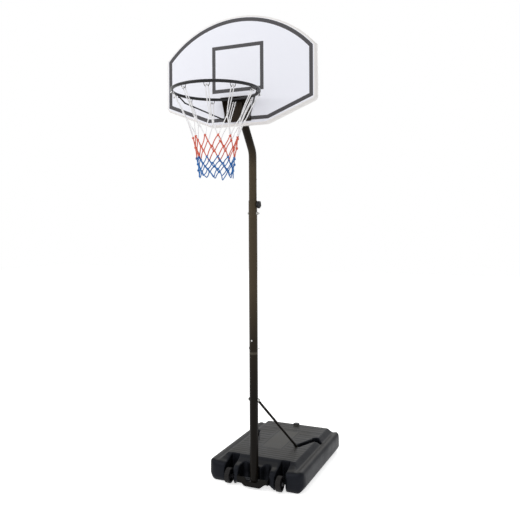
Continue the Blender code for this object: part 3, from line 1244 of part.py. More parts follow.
def build_rim_fasteners():
    """Long bolts through bracket, board and clamp, with their nuts behind."""
    behind = BOARD_BACK_Y + SEAT_GAP + CLAMP_SHEET + SEAT_GAP
    front = BRACKET_FRONT_Y - SEAT_GAP
    reach = behind - front + WASHER_THICKNESS + NUT_THICKNESS + BOLT_TAIL * 0.6
    for label, x, z in rim_bolt_places():
        dome_bolt("rim_bolt_" + label, along_y(x, front, z), reach, BOLT_RADIUS)
        flange_nut("rim_nut_" + label, along_y(x, behind, z))


# Rear clamps: hat-shaped straps that hold the pole against the board
def clamp_outline():
    """A strap that follows the pole's back and lies flat on the board."""
    play = UPPER_RADIUS + SEAT_GAP
    base = BOARD_BACK_Y + SEAT_GAP
    half = CLAMP_WIDTH / 2
    outer = play + CLAMP_SHEET
    top = arc(0, POLE_TOP_Y, outer, 0, 90, 6)
    inner = arc(0, POLE_TOP_Y, play, 90, 0, 6)
    right = [Vector((play, base)), Vector((half, base)), Vector((half, base + CLAMP_SHEET)),
             Vector((outer, base + CLAMP_SHEET))] + top
    left = [Vector((-p.x, p.y)) for p in reversed(right) if abs(p.x) > 0.00001]
    inside = [Vector((-p.x, p.y)) for p in reversed(inner) if abs(p.x) > 0.00001]
    return right + left + inside + inner


def build_clamps():
    low = CLAMP_BOTTOM_HEIGHT
    clamp = part("board_clamp", slab_mesh("board_clamp", [clamp_outline()], low, low + CLAMP_HEIGHT), *STEEL)
    bend_room = box_mesh("bend_room", (-CLAMP_MOUTH_WIDTH / 2, BOARD_FRONT_Y, BOARD_BOTTOM_HEIGHT),
                         (CLAMP_MOUTH_WIDTH / 2, POLE_Y, CLAMP_MOUTH_HEIGHT))
    cut(clamp, tool("bend_room", bend_room))
    for label, x, z in rim_bolt_places():
        cut(clamp, hole("clamp_bolt_hole_" + label, (x, BOARD_FRONT_Y, z), (x, POLE_TOP_Y, z),
                        BOLT_RADIUS + HOLE_PLAY))
    low = TOP_CLAMP_BOTTOM_HEIGHT
    clamp = part("board_top_clamp", slab_mesh("board_top_clamp", [clamp_outline()], low,
                 low + TOP_CLAMP_HEIGHT), *STEEL)
    z = low + TOP_CLAMP_HEIGHT / 2
    behind = BOARD_BACK_Y + SEAT_GAP + CLAMP_SHEET + SEAT_GAP
    for side, label in ((1, "right"), (-1, "left")):
        x = RIM_BOLT_X * side
        cut(clamp, hole("top_clamp_hole_" + label, (x, BOARD_FRONT_Y, z), (x, POLE_TOP_Y, z),
                        CLAMP_SCREW_RADIUS + HOLE_PLAY))
        head = CLAMP_SCREW_HEAD_RADIUS
        shank = CLAMP_SCREW_RADIUS
        depth = CLAMP_SCREW_LENGTH - BOARD_WALL
        profile = [(0, CLAMP_SCREW_HEAD), (head * 0.7, CLAMP_SCREW_HEAD), (head, CLAMP_SCREW_HEAD / 3),
                   (head, 0), (shank, 0), (shank, -depth), (0, -depth)]
        name = "clamp_screw_" + label
        part(name, turned_mesh(name, profile, 12, along_y(x, behind, z)), *ZINC)


# Hooks under the ring, and the knotted net that hangs from them
def column_angle(index):
    return 360.0 * index / NET_COLUMNS


def hook_mesh(name, column):
    """A bent wire like a wide W, welded under the ring at both its ends."""
    top = RING_HEIGHT - RING_ROD_RADIUS - HOOK_WIRE_RADIUS
    weld = (-HOOK_WIRE_RADIUS - RING_ROD_RADIUS * 0.3) / HOOK_DROP
    half = [(0.0, 0.45), (0.15, 0.92), (0.33, 0.96), (0.50, weld)]
    shape = [(-across, down) for across, down in half[:0:-1]] + half
    path = []
    for across, down in shape:
        angle = column_angle(column) + math.degrees(across * HOOK_WIDTH / RING_RADIUS)
        path.append(ring_point(angle, RING_RADIUS, top - down * HOOK_DROP))
    return tube_mesh(name, path, HOOK_WIRE_RADIUS, 0)


def net_point(column, level, across=0.0, out=0.0):
    """A place on the net: its column, whole or half, its (height, radius), and
    its offsets along the circle and outwards."""
    height, radius = level
    angle = column_angle(column) + math.degrees(across / radius)
    return ring_point(angle, radius + out, height)


def cord_mesh(name, path, closed):
    """A square-laid cord along a path, with ends filled or joined up."""
    curve = bpy.data.curves.new(name, "CURVE")
    curve.dimensions = "3D"
    curve.bevel_depth = CORD_RADIUS
    curve.bevel_resolution = CORD_SIDES // 2 - 2
    curve.twist_mode = "Z_UP"
    curve.use_fill_caps = not closed
    spline = curve.splines.new("POLY")
    spline.points.add(len(path) - 1)
    for target, point in zip(spline.points, path):
        target.co = (*point, 1.0)
    spline.use_cyclic_u = closed
    return curve_to_mesh(name, curve, Matrix.Identity(4))


def net_row(name, top, low, top_half, rise=0.0, drop=0.0):
    """One row of the net's diamonds: a cord that runs all round, up to a knot
    and down to the next, and turns over each knot's length."""
    path = []
    phases = (0.5, 0.0) if top_half else (0.0, 0.5)
    upper = (top[0] + rise, top[1])
    lower = (low[0] - drop, low[1])
    half_knot = KNOT_LENGTH / 2
    for column in range(NET_COLUMNS):
        for across in (-half_knot, half_knot):
            path.append(net_point(column + phases[0], upper, across))
        for across in (-half_knot, half_knot):
            path.append(net_point(column + phases[0] + 0.5, lower, across))
    return cord_mesh(name, path, True)


def hook_loop(name, column):
    """The net's loop over one hook: up inside the ring on either side of the
    hook's middle, over the two low bends, and across in front."""
    valley = NET_TWIN_SPREAD * HOOK_WIDTH
    sling = HOOK_WIRE_RADIUS + SEAT_GAP + CORD_RADIUS
    wire = RING_HEIGHT - RING_ROD_RADIUS - HOOK_WIRE_RADIUS - HOOK_DROP
    above = (wire + sling * 1.25, RING_RADIUS)
    beside = (wire + sling * 0.35, RING_RADIUS)
    below = (wire - sling * 1.3, RING_RADIUS)
    neck = (NET_GATHER[0] + 0.020, NET_GATHER[1] + 0.011)
    knot = (NET_GATHER[0] + CORD_RADIUS * KNOT_LAP, NET_GATHER[1])
    side = [(knot, 0.0, 0.0), (neck, 0.5, 0.0), (below, 1.0, -sling * 1.6),
            (beside, 1.0, -sling * 1.3), (above, 1.0, 0.0), (beside, 0.75, sling * 1.3)]
    left = [net_point(column, level, -valley * share, out) for level, share, out in side]
    right = [net_point(column, level, valley * share, out) for level, share, out in side]
    return cord_mesh(name, left + right[:0:-1], True)


def build_net():
    """White loops over the hooks, then a red band and a blue one. The rows of a
    band are joined where they cross; each band seats on the next one's knots."""
    seat = CORD_RADIUS * KNOT_SQUEEZE + SEAT_GAP / 2
    lap = -CORD_RADIUS * KNOT_LAP
    white = part("net_white", net_row("net_white", NET_GATHER, NET_RED_TOP, False, lap, -seat),
                 (0.82, 0.82, 0.82), 0.8)
    for column in range(NET_COLUMNS):
        name = "hook_loop_" + str(column + 1)
        join(white, tool(name, hook_loop(name, column)))
    red = part("net_red", net_row("net_red", NET_RED_TOP, NET_RED_MIDDLE, True, -seat, lap),
               (0.58, 0.055, 0.026), 0.8)
    lower = net_row("red_lower_row", NET_RED_MIDDLE, NET_BLUE_TOP, False, lap, -seat)
    join(red, tool("red_lower_row", lower))
    blue = part("net_blue", net_row("net_blue", NET_BLUE_TOP, NET_BLUE_UPPER, True, -seat, lap),
                (0.016, 0.119, 0.376), 0.8)
    middle = net_row("blue_middle_row", NET_BLUE_UPPER, NET_BLUE_LOWER, False, lap, lap)
    last = net_row("blue_last_row", NET_BLUE_LOWER, NET_TIPS, True, lap, 0.0)
    join(blue, tool("blue_middle_row", middle), tool("blue_last_row", last))


build_tank()
build_filler()
build_wheels()
build_cradle()
build_lower_pole()
build_middle_pole()
build_upper_pole()
build_pole_hardware()
build_knob()
build_button()
build_struts()
build_board()
build_rim()
build_rim_fasteners()
build_clamps()
build_net()
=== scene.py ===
import math
import random

import bmesh
import bpy
from mathutils import Matrix, Vector


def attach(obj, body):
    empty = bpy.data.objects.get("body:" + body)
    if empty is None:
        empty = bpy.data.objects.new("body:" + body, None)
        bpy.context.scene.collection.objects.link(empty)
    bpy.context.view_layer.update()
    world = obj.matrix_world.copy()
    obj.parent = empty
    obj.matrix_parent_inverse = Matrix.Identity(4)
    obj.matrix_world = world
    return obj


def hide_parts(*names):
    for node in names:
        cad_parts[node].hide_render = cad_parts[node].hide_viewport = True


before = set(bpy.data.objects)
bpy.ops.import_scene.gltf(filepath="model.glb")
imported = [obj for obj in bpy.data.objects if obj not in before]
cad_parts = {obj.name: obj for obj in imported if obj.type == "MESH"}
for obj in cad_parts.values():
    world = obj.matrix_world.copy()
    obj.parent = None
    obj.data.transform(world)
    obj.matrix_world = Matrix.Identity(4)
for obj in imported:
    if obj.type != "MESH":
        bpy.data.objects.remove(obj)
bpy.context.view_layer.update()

# Camera: a short telephoto lens held level at chest height, a little to the
# right of the stand, with the frame slid down so that the wheels stay in view.
CAMERA_PLACE = (1.4345, -3.6103, 1.5190)
CAMERA_TURN = (90.0, 0.286, 23.285)
CAMERA_LENS = 42.25
CAMERA_SHIFT = -0.067

camera_data = bpy.data.cameras.new("camera")
camera_data.lens = CAMERA_LENS
camera_data.sensor_width = 36.0
camera_data.shift_y = CAMERA_SHIFT
camera_data.dof.use_dof = False
camera = bpy.data.objects.new("camera", camera_data)
camera.location = CAMERA_PLACE
camera.rotation_euler = [math.radians(angle) for angle in CAMERA_TURN]
bpy.context.scene.collection.objects.link(camera)
bpy.context.scene.camera = camera

# Tank: a blow-moulded tub of black polyethylene that is filled with water or
# sand. It is one hollow moulding with a stepped top and troughs for the struts.
TANK_COLOUR = "#08090b"
TANK_PALE_TONE = "#55524a"
TANK_PANEL_PALE_TONE = "#69665c"
TANK_SHEEN = "#dce3fa"
TANK_GRAIN = 0.0016
TANK_CLOUD = 0.14
PANEL_HALF = 0.069
PANEL_MIDDLE = 0.0435
PANEL_REACH = 0.168
PANEL_LINE = 0.005
GROOVE_FROM = 0.1418
GROOVE_TO = 0.1431
SLOPE_TOP = 0.132
TANK_SKIN = 0.0038
RIM_FROM = (0.205, 0.262)
RIM_SPREAD = 0.012
RIM_LIFT = 0.009
RIM_LIFT_FROM = (0.070, 0.105)
FOOT_HEIGHT = 0.040
FOOT_INSET = 0.014
ROUND_FRONT = (-0.310, -0.285)
ROUND_BACK = (0.362, 0.376)
ROUND_STEPS = 14
BLOCK_FROM = (0.108, 0.128)
WELD_REACH = 0.00001
TRUE_EDGE = 50.0


def linear(hex_colour):
    """An sRGB hex value as the linear colour that the shader wants."""
    channels = [int(hex_colour[i:i + 2], 16) / 255 for i in (1, 3, 5)]
    return (*[c / 12.92 if c <= 0.04045 else ((c + 0.055) / 1.055) ** 2.4 for c in channels], 1.0)


def add_node(tree, kind, inputs=None, **settings):
    """A node with its settings, and its inputs as values or links."""
    node = tree.nodes.new(kind if "Node" in kind else "ShaderNode" + kind)
    for name, value in settings.items():
        setattr(node, name, value)
    for key, value in (inputs or {}).items():
        if isinstance(value, bpy.types.NodeSocket):
            tree.links.new(value, node.inputs[key])
        else:
            node.inputs[key].default_value = value
    return node


def start_material(name, colour, roughness, metallic=0.0, specular=0.5):
    """A named material with its shader and the piece's own coordinates."""
    material = bpy.data.materials.new(name)
    material.use_nodes = True
    tree = material.node_tree
    shader = tree.nodes["Principled BSDF"]
    shader.inputs["Base Color"].default_value = linear(colour)
    shader.inputs["Roughness"].default_value = roughness
    shader.inputs["Metallic"].default_value = metallic
    shader.inputs["Specular IOR Level"].default_value = specular
    place = add_node(tree, "TexCoord").outputs["Object"]
    return material, tree, shader, place


def coat(name, material):
    """Gives a CAD piece its material, and joins its loose triangles."""
    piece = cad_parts[name]
    piece.data.materials.clear()
    piece.data.materials.append(material)
    if "custom_normal" in piece.data.attributes:
        piece.data.attributes.remove(piece.data.attributes["custom_normal"])
    piece.data.shade_smooth()
    weld = piece.modifiers.new("weld", "WELD")
    weld.merge_threshold = WELD_REACH
    return piece


def dress(names, material):
    """Coats CAD pieces and keeps their true edges crisp. The last one named
    also has its shading weighted by the size of its faces."""
    for name in names:
        piece = coat(name, material)
        split = piece.modifiers.new("true_edges", "EDGE_SPLIT")
        split.split_angle = math.radians(TRUE_EDGE)
    even = piece.modifiers.new("even_faces", "WEIGHTED_NORMAL")
    even.weight = 100


# Blow-moulded polyethylene: a dull charcoal skin with a fine sandblasted grain
# from the mould, cloudy gloss, and a paler tone in cloudy patches on faces that look
# up. The grooves and the line round the smooth panel are kept free of that tone, a
# painted shade that draws them darker than the skin's shape alone would.
tank_plastic, tree, shader, place = start_material("blow_moulded_polyethylene", TANK_COLOUR, 0.5,
                                                   specular=0.17)
shader.inputs["Specular Tint"].default_value = linear(TANK_SHEEN)
cloud = add_node(tree, "TexNoise", {"Vector": place, "Scale": 1 / TANK_CLOUD, "Detail": 4.0})
level = add_node(tree, "SeparateXYZ", {"Vector": add_node(tree, "NewGeometry").outputs["Normal"]})
# A paler tone in cloudy patches on faces that look up, paler still on the smooth panel.
facing_up = add_node(tree, "MapRange", {"Value": level.outputs["Z"], "From Min": 0.9, "From Max": 1.0,
                                      "To Min": 0.0, "To Max": 0.55})
pale_share = add_node(tree, "Math", {0: facing_up.outputs["Result"], 1: cloud.outputs["Fac"]}, operation="MULTIPLY")
apart = add_node(tree, "SeparateXYZ", {"Vector": place})
fields = []
for line in (0.0, PANEL_LINE):
    across = add_node(tree, "Math", {0: apart.outputs["X"], 1: 0.0, 2: PANEL_HALF - line},
                      operation="COMPARE")
    along = add_node(tree, "Math", {0: apart.outputs["Y"], 1: PANEL_MIDDLE, 2: PANEL_REACH - line},
                     operation="COMPARE")
    field = add_node(tree, "Math", {0: across.outputs["Value"], 1: along.outputs["Value"]},
                     operation="MULTIPLY")
    fields.append(field.outputs["Value"])
panel, inner = fields
powder = add_node(tree, "Mix", {0: panel, 6: linear(TANK_PALE_TONE), 7: linear(TANK_PANEL_PALE_TONE)},
                  data_type="RGBA")
# Painted shade: no pale tone on the grooves' floors or the panel's line, which draws them darker.
proud = add_node(tree, "MapRange", {"Value": apart.outputs["Z"], "From Min": GROOVE_FROM,
                                    "From Max": GROOVE_TO})
below = add_node(tree, "Math", {0: apart.outputs["Z"], 1: SLOPE_TOP}, operation="LESS_THAN")
open_face = add_node(tree, "Math", {0: proud.outputs["Result"], 1: below.outputs["Value"]},
                     operation="MAXIMUM")
line = add_node(tree, "Math", {0: panel, 1: inner}, operation="SUBTRACT")
clear_of_line = add_node(tree, "Math", {0: 1.0, 1: line.outputs["Value"]}, operation="SUBTRACT")
outside_painted_shade = add_node(tree, "Math", {0: open_face.outputs["Value"], 1: clear_of_line.outputs["Value"]},
                   operation="MULTIPLY")
pale_where_clear = add_node(tree, "Math", {0: pale_share.outputs["Value"], 1: outside_painted_shade.outputs["Value"]},
                 operation="MULTIPLY")
tone = add_node(tree, "Mix", {0: pale_where_clear.outputs["Value"], 6: linear(TANK_COLOUR), 7: powder.outputs[2]},
                data_type="RGBA")
tree.links.new(tone.outputs[2], shader.inputs["Base Color"])
gloss = add_node(tree, "MapRange", {"Value": cloud.outputs["Fac"], "From Min": 0.3, "From Max": 0.7,
                                    "To Min": 0.38, "To Max": 0.52})
tree.links.new(gloss.outputs["Result"], shader.inputs["Roughness"])
grain = add_node(tree, "TexNoise", {"Vector": place, "Scale": 1 / TANK_GRAIN, "Detail": 2.0})
bump = add_node(tree, "Bump", {"Height": grain.outputs["Fac"], "Strength": 0.25, "Distance": 0.0004})
tree.links.new(bump.outputs["Normal"], shader.inputs["Normal"])

# The tank's form: its CAD solid is sharp-edged, and narrower than the tank in the
# photograph. A remeshed skin softens it. The nodes then move the two side rims
# outwards and up, set the foot in below them, and round the rims, the outer front
# blocks and the back end, but not the pole's notch or the filler's neck.
tank = coat("base_tank", tank_plastic)
skin = tank.modifiers.new("moulded_skin", "REMESH")
skin.mode = "VOXEL"
skin.voxel_size = TANK_SKIN
skin.use_smooth_shade = True
spread = bpy.data.node_groups.new("rim_spread", "GeometryNodeTree")
spread.interface.new_socket("Geometry", in_out="INPUT", socket_type="NodeSocketGeometry")
spread.interface.new_socket("Geometry", in_out="OUTPUT", socket_type="NodeSocketGeometry")
here = add_node(spread, "GeometryNodeInputPosition").outputs[0]
spot = add_node(spread, "SeparateXYZ", {"Vector": here})
side = add_node(spread, "Math", {0: spot.outputs["X"]}, operation="SIGN")
away = add_node(spread, "Math", {0: spot.outputs["X"]}, operation="ABSOLUTE")
rim = add_node(spread, "MapRange", {"Value": away.outputs["Value"], "From Min": RIM_FROM[0],
                                    "From Max": RIM_FROM[1], "To Min": 0.0, "To Max": 1.0},
               interpolation_type="SMOOTHSTEP")
foot = add_node(spread, "MapRange", {"Value": spot.outputs["Z"], "From Min": 0.0, "From Max": FOOT_HEIGHT,
                                     "To Min": RIM_SPREAD - FOOT_INSET, "To Max": RIM_SPREAD})
wall = add_node(spread, "Math", {0: foot.outputs["Result"], 1: rim.outputs["Result"]}, operation="MULTIPLY")
outward = add_node(spread, "Math", {0: wall.outputs["Value"], 1: side.outputs["Value"]},
                   operation="MULTIPLY")
upper = add_node(spread, "MapRange", {"Value": spot.outputs["Z"], "From Min": RIM_LIFT_FROM[0],
                                      "From Max": RIM_LIFT_FROM[1], "To Min": 0.0, "To Max": RIM_LIFT})
upward = add_node(spread, "Math", {0: upper.outputs["Result"], 1: rim.outputs["Result"]},
                  operation="MULTIPLY")
front_end = add_node(spread, "MapRange", {"Value": spot.outputs["Y"], "From Min": ROUND_FRONT[0],
                                          "From Max": ROUND_FRONT[1], "To Min": 1.0, "To Max": 0.0})
back_end = add_node(spread, "MapRange", {"Value": spot.outputs["Y"], "From Min": ROUND_BACK[0],
                                         "From Max": ROUND_BACK[1], "To Min": 0.0, "To Max": 1.0})
blocks = add_node(spread, "MapRange", {"Value": away.outputs["Value"], "From Min": BLOCK_FROM[0],
                                       "From Max": BLOCK_FROM[1], "To Min": 0.0, "To Max": 1.0})
front_blocks = add_node(spread, "Math", {0: front_end.outputs["Result"], 1: blocks.outputs["Result"]},
                        operation="MULTIPLY")
ends = add_node(spread, "Math", {0: front_blocks.outputs["Value"], 1: back_end.outputs["Result"]},
                operation="MAXIMUM")
rounded = add_node(spread, "Math", {0: ends.outputs["Value"], 1: rim.outputs["Result"]},
                   operation="MAXIMUM")
blurred = add_node(spread, "GeometryNodeBlurAttribute", {"Value": here, "Iterations": ROUND_STEPS},
                   data_type="FLOAT_VECTOR")
softened = add_node(spread, "Mix", {0: rounded.outputs["Value"], 4: here, 5: blurred.outputs["Value"]},
                    data_type="VECTOR")
move = add_node(spread, "CombineXYZ", {"X": outward.outputs["Value"], "Z": upward.outputs["Value"]})
whole = add_node(spread, "NodeGroupInput").outputs[0]
moved = add_node(spread, "GeometryNodeSetPosition", {"Geometry": whole, "Position": softened.outputs[1],
                                                     "Offset": move.outputs["Vector"]})
add_node(spread, "NodeGroupOutput", {0: moved.outputs["Geometry"]})
wider = tank.modifiers.new("wider_rim", "NODES")
wider.node_group = spread
soft = tank.modifiers.new("soft_edges", "SMOOTH")
soft.factor = 0.5
soft.iterations = 3

# Filler cap: a ribbed screw plug of injection-moulded polypropylene that sits
# on a grey rubber washer, over the tank's filler neck.
RIBBED_COLOUR = "#111113"
SEAL_COLOUR = "#77776f"
SPARK_TEXTURE = 0.0015
RUBBER_FLECK = 0.003

# Injection-moulded polypropylene: nearly black and satin, with the fine
# spark-eroded texture of the steel mould, drawn at 1.5 mm so that it shows.
moulded_plastic, tree, shader, place = start_material("injection_moulded_polypropylene", RIBBED_COLOUR, 0.4,
                                                      specular=0.2)
spark = add_node(tree, "TexNoise", {"Vector": place, "Scale": 1 / SPARK_TEXTURE, "Detail": 3.0})
shade = add_node(tree, "MapRange", {"Value": spark.outputs["Fac"], "From Min": 0.35, "From Max": 0.65,
                                    "To Min": 0.34, "To Max": 0.46})
tree.links.new(shade.outputs["Result"], shader.inputs["Roughness"])
tone = add_node(tree, "Mix", {0: spark.outputs["Fac"], 6: linear("#0e0e10"), 7: linear("#161618")},
                data_type="RGBA")
tree.links.new(tone.outputs[2], shader.inputs["Base Color"])
bump = add_node(tree, "Bump", {"Height": spark.outputs["Fac"], "Strength": 0.2, "Distance": 0.0003})
tree.links.new(bump.outputs["Normal"], shader.inputs["Normal"])

# Cut EPDM rubber: matt mid grey, slightly powdery, with a blurred fleck.
seal_rubber, tree, shader, place = start_material("cut_epdm_rubber", SEAL_COLOUR, 0.85)
fleck = add_node(tree, "TexNoise", {"Vector": place, "Scale": 1 / RUBBER_FLECK, "Detail": 4.0})
tone = add_node(tree, "Mix", {0: fleck.outputs["Fac"], 6: linear("#686862"), 7: linear("#87877e")},
                data_type="RGBA")
tree.links.new(tone.outputs[2], shader.inputs["Base Color"])
dress(["filler_cap"], moulded_plastic)
dress(["filler_seal"], seal_rubber)

# Wheels: two moulded wheels with ribbed treads on one black steel axle, held
# off the tank's walls by spacer rings and kept on by pressed steel caps.
WHEEL_COLOUR = "#100f11"
WHEEL_SCUFF = "#2b2826"
WHEEL_AXIS = (-0.3801, 0.047)
TREAD_FROM = 0.0405
TREAD_TO = 0.043
SCUFF_PATCH = 0.006
LATHE_RINGS = 160.0
ZINC_CRYSTAL = 0.002
ZINC_TINT = 0.012

# Moulded polypropylene that has rolled over paving: black, with a paler
# greyish scuff on the crown of the tread.
wheel_plastic, tree, shader, place = start_material("scuffed_moulded_polypropylene", WHEEL_COLOUR, 0.55,
                                                    specular=0.15)
scuff = add_node(tree, "TexNoise", {"Vector": place, "Scale": 1 / SCUFF_PATCH, "Detail": 5.0})
centred = add_node(tree, "Mapping", {"Vector": place, "Location": (0.0, -WHEEL_AXIS[0], -WHEEL_AXIS[1]),
                                     "Scale": (0.0, 1.0, 1.0)})
radius = add_node(tree, "VectorMath", {0: centred.outputs["Vector"]}, operation="LENGTH")
crown = add_node(tree, "MapRange", {"Value": radius.outputs["Value"], "From Min": TREAD_FROM,
                                    "From Max": TREAD_TO, "To Min": 0.0, "To Max": 1.0})
worn = add_node(tree, "Math", {0: crown.outputs["Result"], 1: scuff.outputs["Fac"]}, operation="MULTIPLY")
tone = add_node(tree, "Mix", {0: worn.outputs["Value"], 6: linear(WHEEL_COLOUR), 7: linear(WHEEL_SCUFF)},
                data_type="RGBA")
tree.links.new(tone.outputs[2], shader.inputs["Base Color"])
bump = add_node(tree, "Bump", {"Height": scuff.outputs["Fac"], "Strength": 0.2, "Distance": 0.0004})
tree.links.new(bump.outputs["Normal"], shader.inputs["Normal"])

# Black oxide on turned steel: a thin, oily, blue-black skin that still shows the
# faint rings of the lathe, drawn about 2 mm apart so that they show.
black_oxide, tree, shader, place = start_material("black_oxide_steel", "#222326", 0.38, 0.6)
rings = add_node(tree, "TexWave", {"Vector": place, "Scale": LATHE_RINGS, "Distortion": 0.4},
                 bands_direction="X")
tone = add_node(tree, "Mix", {0: rings.outputs["Fac"], 6: linear("#1b1c1f"), 7: linear("#2b2c30")},
                data_type="RGBA")
tree.links.new(tone.outputs[2], shader.inputs["Base Color"])

# Bright zinc plate on turned or rolled steel: a cool, slightly cloudy silver
# with faint bluish and straw tints from the passivation, crystals about 2 mm.
bright_zinc, tree, shader, place = start_material("bright_zinc_plate", "#b4b7bb", 0.3, 1.0)
crystal = add_node(tree, "TexVoronoi", {"Vector": place, "Scale": 1 / ZINC_CRYSTAL})
tint = add_node(tree, "TexNoise", {"Vector": place, "Scale": 1 / ZINC_TINT, "Detail": 3.0})
tone = add_node(tree, "Mix", {0: tint.outputs["Fac"], 6: linear("#a9adb4"), 7: linear("#c2bfb2")},
                data_type="RGBA")
tree.links.new(tone.outputs[2], shader.inputs["Base Color"])
gloss = add_node(tree, "MapRange", {"Value": crystal.outputs["Distance"], "From Min": 0.0, "From Max": 1.0,
                                    "To Min": 0.24, "To Max": 0.38})
tree.links.new(gloss.outputs["Result"], shader.inputs["Roughness"])
dress(["wheel_left", "wheel_right"], wheel_plastic)
dress(["wheel_spacer_left", "wheel_spacer_right"], moulded_plastic)
dress(["wheel_axle", "axle_cap_left", "axle_cap_right"], black_oxide)

# Cradle and pole: three tubes of rolled and welded steel, powder-coated in a
# brown-black, that plug into each other and stand in a folded steel plate.
TUBE_COLOUR = "#332a1e"
COAT_WANDER = 0.09
COAT_PEEL = 0.003
SHADE_TOP = 2.7
SHADE_SHARE = 0.92
# Painted shade at the foot and above the lower bend, and a painted highlight at the seam, by height at
# rest.
TUBE_PAINTED_LIGHT = [(0.25, "#040302"), (0.55, "#0d0b08"), (0.7795, "#211c14"), (0.7803, "#565147"),
               (0.7820, "#565147"), (0.7828, "#221d15"), (0.85, "#262118"), (1.15, "#463d2f"),
               (1.85, "#4a4132"), (2.00, "#1a140c"), (2.40, "#151009")]


def powder_coat(name, colour, pale, roughness, specular=0.08, painted_light=()):
    """Powder coat on steel: a low, wavy orange-peel skin about 3 mm across, and
    colour and gloss that wander along the tube. Painted light and shade go on by height."""
    material, tree, shader, place = start_material(name, colour, roughness, specular=specular)
    wander = add_node(tree, "TexNoise", {"Vector": place, "Scale": 1 / COAT_WANDER, "Detail": 3.0})
    tone = add_node(tree, "Mix", {0: wander.outputs["Fac"], 6: linear(colour), 7: linear(pale)},
                    data_type="RGBA")
    # Painted light and shade by height, mixed over the coat's own colour.
    if painted_light:
        up = add_node(tree, "SeparateXYZ", {"Vector": place})
        share = add_node(tree, "MapRange", {"Value": up.outputs["Z"], "From Min": 0.0,
                                            "From Max": SHADE_TOP})
        bands = add_node(tree, "ValToRGB", {"Fac": share.outputs["Result"]})
        stops = bands.color_ramp.elements
        for height, shade in painted_light:
            stops.new(height / SHADE_TOP).color = linear(shade)
        stops.remove(stops[-1])
        stops.remove(stops[0])
        tone = add_node(tree, "Mix", {0: SHADE_SHARE, 6: tone.outputs[2], 7: bands.outputs["Color"]},
                        data_type="RGBA")
    tree.links.new(tone.outputs[2], shader.inputs["Base Color"])
    gloss = add_node(tree, "MapRange", {"Value": wander.outputs["Fac"], "From Min": 0.3, "From Max": 0.7,
                                        "To Min": roughness - 0.05, "To Max": roughness + 0.05})
    tree.links.new(gloss.outputs["Result"], shader.inputs["Roughness"])
    peel = add_node(tree, "TexNoise", {"Vector": place, "Scale": 1 / COAT_PEEL, "Detail": 1.0})
    bump = add_node(tree, "Bump", {"Height": peel.outputs["Fac"], "Strength": 0.12, "Distance": 0.0004})
    tree.links.new(bump.outputs["Normal"], shader.inputs["Normal"])
    return material


# The tubes' painted light and shade, by height at rest: painted shade darkens the
# foot, a painted highlight draws a pale ring at the seam of the lower two tubes, the
# middle is brown, and painted shade darkens the tubes from the lower bend up.
tube_coat = powder_coat("powder_coated_steel_tube", TUBE_COLOUR, "#3a3226", 0.36, painted_light=TUBE_PAINTED_LIGHT)
strut_coat = powder_coat("powder_coated_steel_strut", "#0f0d0a", "#15120e", 0.36)
sheet_coat = powder_coat("powder_coated_steel_sheet", "#0e0d0b", "#151310", 0.42)
dress(["pole_cradle"], sheet_coat)
dress(["lower_pole", "middle_pole", "upper_pole", "stop_stud"], tube_coat)
dress(["pole_end_cap"], moulded_plastic)

# Bolts, nuts and the spring button: zinc-plated steel, with a hardened strip
# of spring steel behind the button that pushes it out of the tube.
STREAK_WIDTH = 0.0006
STREAK_LENGTH = 0.02

# Hardened spring steel: a warm grey, with fine streaks from the rolling.
spring_steel, tree, shader, place = start_material("hardened_spring_steel", "#6d6a66", 0.34, 1.0)
streak = add_node(tree, "Mapping", {"Vector": place, "Scale": (1 / STREAK_WIDTH, 1 / STREAK_LENGTH,
                                                               1 / STREAK_LENGTH)})
rolled = add_node(tree, "TexNoise", {"Vector": streak.outputs["Vector"], "Scale": 1.0, "Detail": 2.0})
tone = add_node(tree, "Mix", {0: rolled.outputs["Fac"], 6: linear("#595550"), 7: linear("#837f79")},
                data_type="RGBA")
tree.links.new(tone.outputs[2], shader.inputs["Base Color"])
dress(["height_bolt", "height_nut", "joint_bolt", "strut_bolt", "strut_nut", "join_button"], bright_zinc)
dress(["button_spring"], spring_steel)

# Struts: two tubes with pressed and bored ends, bolted through the pole above
# and screwed into the tank's troughs below.
dress(["strut_left", "strut_right"], strut_coat)
dress(["strut_screw_left", "strut_screw_right"], bright_zinc)

# Clamp knob: a five-lobed head of moulded plastic on a steel screw, which
# presses the sliding tube against the far wall of the fixed one.
KNOB_CENTRE = (0.0, -0.3801, 1.638)
KNOB_FACE = 0.0300
KNOB_RADIUS = 0.0225
KNOB_THICKNESS = 0.0145
KNOB_LOBES = 5
KNOB_LOBE_DEPTH = 0.0028
KNOB_EDGE = 0.003
KNOB_RECESS = 0.0012
KNOB_SCREW_RADIUS = 0.004
KNOB_SCREW_FROM = 0.0228
KNOB_SCREW_PITCH = 0.00125
KNOB_THREAD_DEPTH = 0.0006
KNOB_DISH = 0.22
KNOB_HUB = 0.20


def mesh_piece(name, bm, material):
    """A finished bmesh as an object at the origin, with smooth faces."""
    mesh = bpy.data.meshes.new(name)
    bm.to_mesh(mesh)
    bm.free()
    mesh.materials.append(material)
    mesh.shade_smooth()
    piece = bpy.data.objects.new(name, mesh)
    bpy.context.scene.collection.objects.link(piece)
    return piece


def split_edges(piece, angle=32.0):
    """Keeps a new piece's true edges crisp."""
    split = piece.modifiers.new("true_edges", "EDGE_SPLIT")
    split.split_angle = math.radians(angle)


